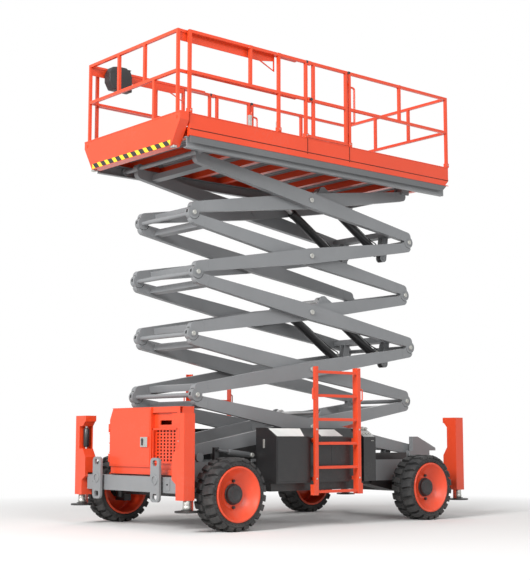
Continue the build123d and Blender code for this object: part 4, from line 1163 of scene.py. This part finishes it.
class LIFT_OT_cabinets(bpy.types.Operator):
    """Cabinet cases, doors, latches, screws and blank labels, and the ground control panel"""
    bl_idname = "lift.cabinets"
    bl_label = "Side cabinets"

    def execute(self, context):
        for side_name, side in SIDES:
            self.cabinet(side_name + "_cabinet", side)
        self.control_panel()
        return {"FINISHED"}

    @staticmethod
    def cabinet(name, side):
        """One cabinet: a wide front part, a shallower part behind it, and what is fixed to them."""
        low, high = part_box(name)
        bottom = high.z - 0.587
        split = high.x - 0.488
        eave = high.z - SLOPE_DROP

        def case(bm):
            for start, end, inside, outside in (
                (split, high.x, 0.766, CABINET_Y), (low.x, split, 0.665, RECESS_Y),
            ):
                outline = (
                    (inside, bottom), (outside, bottom), (outside, eave),
                    (outside - SLOPE_RUN, high.z), (inside, high.z),
                )
                plate_into(bm, [(side * y, z) for y, z in outline], start, end)
            boxes_into(bm, (((low.x, high.x), (0.725, 1.010), (bottom - 0.085, bottom)),), 0.003, side)
        piece(name + "_case", case, "black_paint", "chassis", stands_for=name)

        def doors(bm):
            recess = (RECESS_Y - 0.001, RECESS_Y + 0.0015)
            upper = (bottom + 0.190, eave - 0.030)
            boxes_into(bm, ((
                (split + 0.020, high.x - 0.016), (CABINET_Y - 0.001, CABINET_Y + 0.004),
                (bottom + 0.020, eave - 0.016),
            ),), 0.002, side)
            boxes_into(bm, (
                ((split - 0.330, split - 0.030), recess, upper),
                ((low.x + 0.030, split - 0.350), recess, upper),
                ((low.x + 0.030, split - 0.030), recess, (bottom + 0.020, bottom + 0.165)),
            ), 0.0015, side)
            sloped_plate(bm, side, CABINET_Y, high.z, (split + 0.012, high.x - 0.010), (0.04, 0.96),
                         -0.0005, 0.003)
        piece(name + "_doors", doors, "black_paint", "chassis")
        boxes(name + "_front_door", (
            ((high.x - 0.001, high.x + 0.003), (0.785, 1.080), (bottom + 0.025, eave - 0.02)),
        ), "black_paint", "chassis", bevel=0.0015, sides=(side,))

        def labels(bm):
            sloped_plate(bm, side, CABINET_Y, high.z, (split + 0.085, high.x - 0.020), (0.06, 0.90),
                         0.0025, 0.0012, (-0.068, 0.0))
            sloped_plate(bm, side, RECESS_Y, high.z, (split - 0.540, split - 0.215), (0.10, 0.84),
                         -0.0005, 0.0014, (0.012, 0.012))
        piece(name + "_labels", labels, "white_label", "chassis")
        boxes(name + "_latch", (
            ((high.x + 0.002, high.x + 0.013), (0.893, 0.917), (bottom + 0.370, bottom + 0.465)),
        ), "zinc_plate", "chassis", bevel=0.004, sides=(side,))
        screws = [(x, side * (RECESS_Y + 0.002), bottom + 0.035) for x in (low.x + 0.050, low.x + 0.075)]
        heads(name + "_screws", screws, (0, side, 0), 0.006, 0.003, "zinc_plate", "chassis", 12)

    @staticmethod
    def control_panel():
        """The blank sloped panel with its round buttons and guard."""
        low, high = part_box("control_box")
        x = (low.x + 0.012, high.x - 0.008)
        piece("control_panel_face",
              lambda bm: sloped_plate(bm, 1, CABINET_Y, high.z, x, (0.05, 0.95), -0.0005, 0.004),
              "panel_face", "chassis")
        normal = Vector((0, SLOPE_DROP, SLOPE_RUN)).normalized()

        def buttons(bm):
            for along in (0.22, 0.50, 0.78):
                for share, shape in ((0.32, BUTTON_CAP), (0.72, BUTTON_STEM)):
                    y, z = slope_point(CABINET_Y, high.z, share, 0.0035)
                    lathe_into(bm, shape, (x[0] + (x[1] - x[0]) * along, y, z), normal, 24)
        piece("control_panel_buttons", buttons, "zinc_plate", "chassis", smooth=True)
        boxes("control_panel_guard", (
            ((low.x + 0.02, high.x - 0.02), (0.910, 0.932), (high.z - 0.002, high.z + 0.020)),
        ), "zinc_plate", "chassis", bevel=0.004)
        screws = [(x[0] + out, CABINET_Y + 0.0005, high.z - SLOPE_DROP - 0.040) for out in (0.03, 0.05)]
        heads("control_box_screws", screws, (0, 1, 0), 0.006, 0.003, "zinc_plate", "chassis", 12)


RUNGS = 6
RUNG_PITCH = 0.258
FIRST_GRIP_Z = 0.3855
GRIP_TEETH = 19
LADDER_Y = 1.143
HANDLE_BEND = (
    # distance out from the ladder's end, height
    (-0.006, 1.490), (0.012, 1.490), (0.030, 1.478), (0.030, 1.458),
    (0.030, 1.392), (0.030, 1.372), (0.012, 1.360), (-0.006, 1.360),
)


class LIFT_OT_ladders(bpy.types.Operator):
    """Ladder frames of angle stiles and rungs, with grab handles, rung grips and bolts"""
    bl_idname = "lift.ladders"
    bl_label = "Ladders"

    def execute(self, context):
        for side_name, side in SIDES:
            name = side_name + "_ladder"
            low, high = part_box(name)
            for label, way, x in (("front", 1, high.x), ("rear", -1, low.x)):
                path = [(x + way * out, side * (LADDER_Y + 0.015), z) for out, z in HANDLE_BEND]
                tube("%s_handle_%s" % (name, label), path, 0.0075, "orange_low_paint", "chassis")
            for step in range(RUNGS):
                z = FIRST_GRIP_Z + RUNG_PITCH * step
                tooth = ((low.x + 0.070, low.x + 0.082), about(LADDER_Y, 0.0135), (z, z + 0.004))
                row("%s_rung_grip_%d" % (side_name, step + 1),
                    lambda bm: boxes_into(bm, (tooth,), 0.001, side), GRIP_TEETH, (0.030, 0, 0),
                    "orange_low_paint", "chassis")
            piece(name + "_frame", lambda bm: self.bars(bm, side, low, high), "orange_low_paint", "chassis",
                  stands_for=name)
            bolts = [(x, side * 1.1655, z) for x in (low.x + 0.025, high.x - 0.025) for z in (0.512, 1.040)]
            heads(name + "_bolts", bolts, (0, side, 0), 0.011, 0.004, "zinc_plate", "chassis")
        return {"FINISHED"}

    @staticmethod
    def bars(bm, side, low, high):
        """Two angle stiles, tabs to the cabinet's recess, a wider foot below, and the rungs."""
        for x, way in ((high.x, -1), (low.x, 1)):
            web = (x + way * 0.042, x + way * 0.050)
            boxes_into(bm, (
                ((x, x + way * 0.050), (1.157, 1.165), (low.z, high.z)),
                (web, (1.087, 1.1575), (low.z, high.z)),
                (web, (1.0595, 1.0875), (0.490, 0.530)),
                (web, (1.0595, 1.0875), (0.900, 0.945)),
                ((x + way * 0.002, x - way * 0.022), (1.110, 1.1645), (low.z, low.z + 0.115)),
            ), 0.0015, side)
        heights = [low.z + 0.035 + RUNG_PITCH * step for step in range(RUNGS)]
        boxes_into(bm, [
            ((low.x + 0.046, high.x - 0.046), (1.129, 1.1575), about(z, 0.014)) for z in heights
        ], 0.002, side)


JACK_Y = 0.902
FOOT_Y = 0.977
JACK_TUBE = ((0.0, 0.0), (0.026, 0.0), (0.034, 0.012), (0.034, 0.196), (0.024, 0.212), (0.0, 0.212))
JACK_ROD = ((0.0, 0.0), (0.013, 0.0), (0.013, 0.262), (0.0, 0.262))
FOOT_COLLAR = (
    (0.030, 0.0), (0.036, 0.0), (0.038, 0.008), (0.038, 0.042), (0.034, 0.050), (0.030, 0.050), (0.030, 0.0),
)
FOOT_PAD = (
    (0.0, 0.0), (0.1205, 0.0), (0.1205, 0.0165), (0.1175, 0.0185), (0.060, 0.0215), (0.054, 0.030),
    (0.0, 0.030),
)
JACK_HOOD = (
    (0.811, 1.1955), (0.860, 1.1955), (0.860, 1.131), (0.942, 1.131),
    (0.942, 1.080), (0.874, 1.080), (0.811, 1.150),
)
LEG_SKIRT = ((0.811, 0.585), (0.885, 0.585), (0.885, 0.485), (0.879, 0.485), (0.811, 0.530))


class LIFT_OT_outriggers(bpy.types.Operator):
    """Jack cylinders, cover walls, collars and round feet of the outriggers"""
    bl_idname = "lift.outriggers"
    bl_label = "Outriggers"

    def execute(self, context):
        for corner, way, side in CORNERS:
            body = corner + "_leg"
            low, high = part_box(body)
            x = (low.x + high.x) / 2
            up = (0, 0, 1)
            for label, shape, z, look in (
                ("_jack_tube", JACK_TUBE, 0.848, "black_paint"), ("_jack_rod", JACK_ROD, 0.829, "bare_steel"),
            ):
                turned(corner + label, shape, (x, side * JACK_Y, z), up, 32, look, "chassis",
                       stands_for="outrigger_jacks")
            foot_y = side * FOOT_Y
            turned(corner + "_foot_collar", FOOT_COLLAR, (x, foot_y, 0.272), up, 36, "zinc_plate", body)
            self.walls(corner, x, way, side)
            turned(corner + "_foot_pad", FOOT_PAD, (x, foot_y, 0.2046), up, 56, "black_paint", body)
        return {"FINISHED"}

    @staticmethod
    def walls(corner, centre_x, way, side):
        """Back wall, hood and skirt of the jack's pocket, and the strap beside the leg."""
        def draw(bm):
            x = (centre_x - way * 0.0675, centre_x - way * 0.0595)
            boxes_into(bm, (
                (x, (0.874, 0.941), (0.829, 1.131)), (x, (0.955, 0.999), (0.228, 0.327)),
            ), 0.001, side)
            front = sorted((centre_x + way * 0.031, centre_x + way * 0.068))
            for outline, ends in ((JACK_HOOD, about(centre_x, 0.068)), (LEG_SKIRT, front)):
                plate_into(bm, [(side * y, z) for y, z in outline], *ends)
        piece(corner + "_cover_walls", draw, "orange_low_paint", "chassis")


BEAM_GAPS = 9
RIBS = 5
POST_X = (DECK_HIGH.x - 0.004, 0.755, 0.345, -0.345, DECK_LOW.x + 0.0165)
RAIL_Y = 0.8915
GRAB_BEND = (
    (-0.355, 5.050), (-0.408, 5.050), (-0.430, 5.035), (-0.430, 5.000),
    (-0.430, 4.670), (-0.430, 4.635), (-0.408, 4.620), (-0.355, 4.620),
)
GATE_KNOB = ((0.0, 0.0), (0.012, 0.0), (0.012, 0.014), (0.018, 0.018), (0.018, 0.026), (0.0, 0.030))


class LIFT_OT_platform(bpy.types.Operator):
    """Deck underside, side channels and lips, post sockets, rail brackets, and gate fittings"""
    bl_idname = "lift.platform"
    bl_label = "Platform"

    def execute(self, context):
        self.underside()
        self.side_lips()
        self.rails()
        for side_name, side in SIDES:
            self.gate(side_name, side)
        return {"FINISHED"}

    @staticmethod
    def underside():
        """Grey ribbed sheets between the cross beams, seen from below."""
        spacing = (DECK_HIGH.x - DECK_LOW.x - 0.133) / BEAM_GAPS
        first = DECK_LOW.x + 0.073
        under = FLOOR_Z - 0.015
        ribs = [first + 0.075 + step * (spacing - 0.15) / (RIBS - 1) for step in range(RIBS)]

        def sheet(bm):
            x = (first + 0.040, first + spacing - 0.040)
            boxes_into(bm, ((x, about(0, 0.835), (under - 0.006, under + 0.001)),), 0.001)
            boxes_into(bm, [
                (about(x, 0.012), about(0, 0.830), (under - 0.014, under - 0.005)) for x in ribs
            ], 0.002)
        row("deck_underside", sheet, BEAM_GAPS, (spacing, 0, 0), "grey_paint", "platform")

    @staticmethod
    def side_lips():
        """Folded edges and seams along the deck's sides, and the channels below them."""
        low, high = DECK_LOW, DECK_HIGH
        boxes("deck_side_lips", [
            ((low.x, high.x), (high.y - 0.002, high.y + 0.004), (z, z + 0.010))
            for z in (low.z, FLOOR_Z - 0.020, TOE_Z - 0.012)
        ], "orange_paint", "platform", bevel=0.002, sides=BOTH)
        y = (high.y - 0.002, high.y + 0.0045)
        boxes("deck_side_seams", [
            ((low.x + 0.004, high.x - 0.004), y, (FLOOR_Z - 0.026, FLOOR_Z - 0.020)),
            *[(about(x, 0.002), y, (low.z + 0.055, TOE_Z - 0.002)) for x in (0.331, -0.331)],
        ], "dark_hollow", "platform", sides=BOTH, slot="machine_orange")
        outline = (
            (low.x + 0.110, low.z - 0.072), (high.x - 0.010, low.z - 0.072),
            (high.x - 0.010, low.z + 0.002), (low.x + 0.030, low.z + 0.002),
        )

        def channels(bm):
            for side in BOTH:
                plate_into(bm, outline, *span(side, 0.8935, 0.9035), "y")
        # the channels take the darker copy of the stack grey: painted shade for their angled faces
        piece("deck_side_channels", channels, "channel_paint", "platform")

    @staticmethod
    def rails():
        """Sockets at the foot of every post, brackets on the fold-down rails, end caps and guides."""
        boxes("post_sockets", [
            (about(x, 0.026), (0.868, 0.915), (TOE_Z - 0.001, TOE_Z + 0.050)) for x in POST_X
        ], "orange_paint", "platform", bevel=0.003, sides=BOTH)
        for side_name, side in SIDES:
            bolts = [(x, side * 0.915, TOE_Z + 0.028) for x in POST_X]
            heads("post_bolts_" + side_name, bolts, (0, side, 0), 0.009, 0.006, "zinc_plate", "platform")
        boxes("rail_brackets", [
            (about(x, 0.026), (0.872, 0.911), (TOP_RAIL_Z - 0.020, TOP_RAIL_Z + 0.0195))
            for x in (0.755, -1.190, 1.165)
        ], "orange_paint", "platform", bevel=0.004, sides=BOTH)
        boxes("gate_post_caps", [
            (about(x, 0.017), (0.8735, 0.9095), (TOP_RAIL_Z - 0.012, TOP_RAIL_Z + 0.0205))
            for x in (0.329, -0.336)
        ], "black_plastic", "platform", bevel=0.004, sides=BOTH)
        boxes("slide_guides", [
            (about(x, 0.020), (0.838, 0.868), (TOE_Z - 0.100, TOE_Z + 0.130))
            for x in (1.140, 0.730)
        ], "zinc_plate", "platform", bevel=0.003, sides=BOTH)

    @staticmethod
    def gate(side_name, side):
        """The grab handle beside a gate, and the latch plates and knob at its free end."""
        body = side_name + "_gate"
        path = [(x, side * RAIL_Y, z) for x, z in GRAB_BEND]
        tube(side_name + "_grab_handle", path, 0.0125, "orange_paint", "platform")
        x, y = (0.268, 0.318), (0.872, 0.911)
        boxes(body + "_latch", (
            (x, y, about(MID_RAIL_Z, 0.028)),
            (x, y, (TOP_RAIL_Z - 0.026, TOP_RAIL_Z + 0.0195)),
        ), "orange_paint", body, bevel=0.004, sides=(side,))
        turned(body + "_knob", GATE_KNOB, (0.293, side * 0.912, MID_RAIL_Z), (0, side, 0), 24,
               "black_plastic", body)


CONSOLE_Y = -0.750
JOYSTICK = (
    (0.0, 0.0), (0.026, 0.0), (0.024, 0.008), (0.016, 0.014), (0.012, 0.020), (0.011, 0.032), (0.0, 0.032),
)
STOP_BUTTON = (
    (0.0, 0.0), (0.012, 0.0), (0.012, 0.006), (0.019, 0.008), (0.019, 0.012), (0.014, 0.014), (0.0, 0.014),
)


class LIFT_OT_extension(bpy.types.Operator):
    """Warning band, folded edges and the control console of the sliding deck"""
    bl_idname = "lift.extension"
    bl_label = "Extension deck"

    def execute(self, context):
        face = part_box("extension_deck")[1].x
        bottom = FLOOR_Z - 0.200
        band_low = bottom + 0.004
        boxes("warning_band", (
            ((face - 0.001, face + 0.0012), about(0, 0.750),
             (band_low, band_low + sizes().stripe_height)),
        ), "hazard_band", "extension", bevel=0.0004)
        boxes("extension_folds", (
            (about(face, 0.004), about(0, 0.9195), (TOE_Z - 0.014, TOE_Z - 0.001)),
        ), "orange_paint", "extension", bevel=0.002)
        boxes("extension_corner_blocks", (
            ((face - 0.060, face - 0.012), (0.735, 0.790), (bottom - 0.018, bottom + 0.006)),
        ), "zinc_plate", "extension", bevel=0.004, sides=BOTH)
        bolts = [(face + 0.0005, side * 0.860, z) for side in BOTH for z in (TOE_Z - 0.050, FLOOR_Z + 0.080)]
        heads("extension_bolts", bolts, (1, 0, 0), 0.010, 0.006, "orange_paint", "extension")
        self.console()
        return {"FINISHED"}

    @staticmethod
    def console():
        """The control console: rounded case, sloped panel, joystick, grips and a stop button."""
        low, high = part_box("control_console")
        outline = (
            (low.x + 0.040, low.z - 0.025), (high.x - 0.060, low.z - 0.025),
            (high.x - 0.010, low.z + 0.060), (high.x - 0.010, low.z + 0.150),
            (high.x - 0.050, high.z - 0.010), (high.x - 0.130, high.z + 0.008),
            (low.x + 0.120, high.z + 0.008), (low.x + 0.060, high.z - 0.030),
            (low.x + 0.040, high.z - 0.090),
        )

        def case(bm):
            plate_into(bm, outline, CONSOLE_Y - 0.060, CONSOLE_Y + 0.060, "y")
            bmesh.ops.bevel(bm, geom=list(bm.edges), offset=0.010, segments=3, affect="EDGES",
                            profile=BEVEL_PROFILE)
        shared = {"body": "extension", "stands_for": "control_console"}
        piece("console_case", case, "black_plastic", smooth=True, **shared)
        boxes("console_panel", [
            ((low.x + 0.050, high.x - 0.070), (-0.802, -0.698), (high.z - 0.014, high.z - 0.004)),
            *[((x, x + 0.030), (-0.832, -0.805), (high.z - 0.060, high.z - 0.010))
              for x in (low.x + 0.100, low.x + 0.240)],
        ], "black_plastic", bevel=0.004, **shared)
        turned("console_joystick", JOYSTICK, (low.x + 0.120, CONSOLE_Y, high.z - 0.034), (0, 0, 1), 24,
               "black_plastic", **shared)
        turned("console_stop_button", STOP_BUTTON, (low.x + 0.230, CONSOLE_Y, high.z - 0.006), (0, 0, 1), 24,
               "red_button", **shared)


# ---------------------------------------------------------------- stage
FLOOR_REACH = 60.0
LAMPS = (
    # name, place, power, width
    ("key", (16.0, 5.0, 9.0), 3500.0, 6.0),
    ("fill", (5.0, 16.0, 9.0), 1000.0, 8.0),
    ("back", (-11.0, -8.0, 12.0), 500.0, 8.0),
)
LAMP_TARGET = Vector((0.0, 0.0, 2.4))
EYE = (9.5074, 10.9227, 0.9437)
GAZE = (-0.64416, -0.75539, 0.12021)
WHITE = (1.0, 1.0, 1.0, 1.0)


def aimed(way):
    """The rotation that points a lamp or a camera along a direction."""
    return Vector(way).to_track_quat("-Z", "Y").to_euler()


class LIFT_OT_stage(bpy.types.Operator):
    """Pale floor, soft lamps, a white surround and the camera"""
    bl_idname = "lift.stage"
    bl_label = "Stage"

    def execute(self, context):
        self.floor()
        self.lamps()
        self.surround()
        self.camera()
        context.scene.view_settings.view_transform = "Standard"
        return {"FINISHED"}

    @staticmethod
    def floor():
        """A wide floor that turns white further out but keeps the machine's shadow."""
        mesh = bpy.data.meshes.new("floor")
        corners = [(x * FLOOR_REACH, y * FLOOR_REACH, 0.0) for x, y in ((-1, -1), (1, -1), (1, 1), (-1, 1))]
        mesh.from_pydata(corners, [], [range(4)])
        graph = new_graph("floor_white")
        x, y = graph.axes()[:2]
        away = ((x * x + y * y) ** 0.5).ramp(3.2, 7.0)
        lit = graph.add("ShaderNodeBsdfPrincipled", {}, Base_Color=(0.84, 0.83, 0.82, 1.0), Roughness=0.9)
        white = graph.add("ShaderNodeEmission", {}, WHITE, 1.0)
        mesh.materials.append(graph.show(graph.add("ShaderNodeMixShader", {}, away, lit, white)))
        placed("floor", mesh)

    @staticmethod
    def lamps():
        """Large soft lamps: a key from the front left, a fill from the front and a back light."""
        for name, place, power, width in LAMPS:
            lamp = bpy.data.lights.new(name, "AREA")
            lamp.energy = power
            lamp.size = width
            holder = placed(name, lamp)
            holder.location = place
            holder.rotation_euler = aimed(LAMP_TARGET - Vector(place))

    @staticmethod
    def surround():
        """White where the camera, a reflection or glass sees it, and a soft grey light elsewhere."""
        world = bpy.data.worlds.new("surround")
        bpy.context.scene.world = world
        graph = Graph(world, "ShaderNodeOutputWorld")
        rays = graph.outputs("ShaderNodeLightPath")
        either = rays["Is Glossy Ray"].maths("MAXIMUM", rays["Is Transmission Ray"])
        strength = rays["Is Camera Ray"].maths("MAXIMUM", either).ramp(0.0, 1.0, 0.34, 1.0)
        graph.show(graph.add("ShaderNodeBackground", {}, WHITE, strength))

    @staticmethod
    def camera():
        """The camera in front of the machine's left corner, near the ground and tilted up."""
        lens = bpy.data.cameras.new("view")
        lens.lens = 76.03
        lens.sensor_width = 36.0
        lens.sensor_fit = "AUTO"
        lens.clip_end = 200.0
        eye = placed("view", lens)
        eye.location = EYE
        eye.rotation_euler = aimed(GAZE)
        bpy.context.scene.camera = eye


# ---------------------------------------------------------------- add-on
STEPS = (
    LIFT_OT_finishes,
    LIFT_OT_tyres,
    LIFT_OT_hubs,
    LIFT_OT_arm_pins,
    LIFT_OT_cylinders,
    LIFT_OT_housing,
    LIFT_OT_bumpers,
    LIFT_OT_cabinets,
    LIFT_OT_ladders,
    LIFT_OT_outriggers,
    LIFT_OT_platform,
    LIFT_OT_extension,
    LIFT_OT_stage,
)


class LIFT_PT_panel(bpy.types.Panel):
    """Sidebar panel that lists the steps and their settings"""
    bl_idname = "LIFT_PT_panel"
    bl_label = "Scissor lift"
    bl_space_type = "VIEW_3D"
    bl_region_type = "UI"
    bl_category = "Lift"

    def draw(self, context):
        for group in (context.scene.lift_finish, context.scene.lift_sizes):
            for name in group.bl_rna.properties.keys():
                if name not in ("rna_type", "name"):
                    self.layout.prop(group, name)
        for step in STEPS:
            self.layout.operator(step.bl_idname)


CLASSES = (LiftFinish, LiftSizes, *STEPS, LIFT_PT_panel)


def register():
    """Adds the classes and the two groups of settings."""
    for cls in CLASSES:
        bpy.utils.register_class(cls)
    bpy.types.Scene.lift_finish = bpy.props.PointerProperty(type=LiftFinish)
    bpy.types.Scene.lift_sizes = bpy.props.PointerProperty(type=LiftSizes)


def unregister():
    """Takes them away again."""
    del bpy.types.Scene.lift_sizes
    del bpy.types.Scene.lift_finish
    for cls in reversed(CLASSES):
        bpy.utils.unregister_class(cls)


def main():
    """Registers the add-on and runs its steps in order."""
    register()
    for step in STEPS:
        group, name = step.bl_idname.split(".")
        getattr(getattr(bpy.ops, group), name)()


if __name__ == "__main__":
    main()
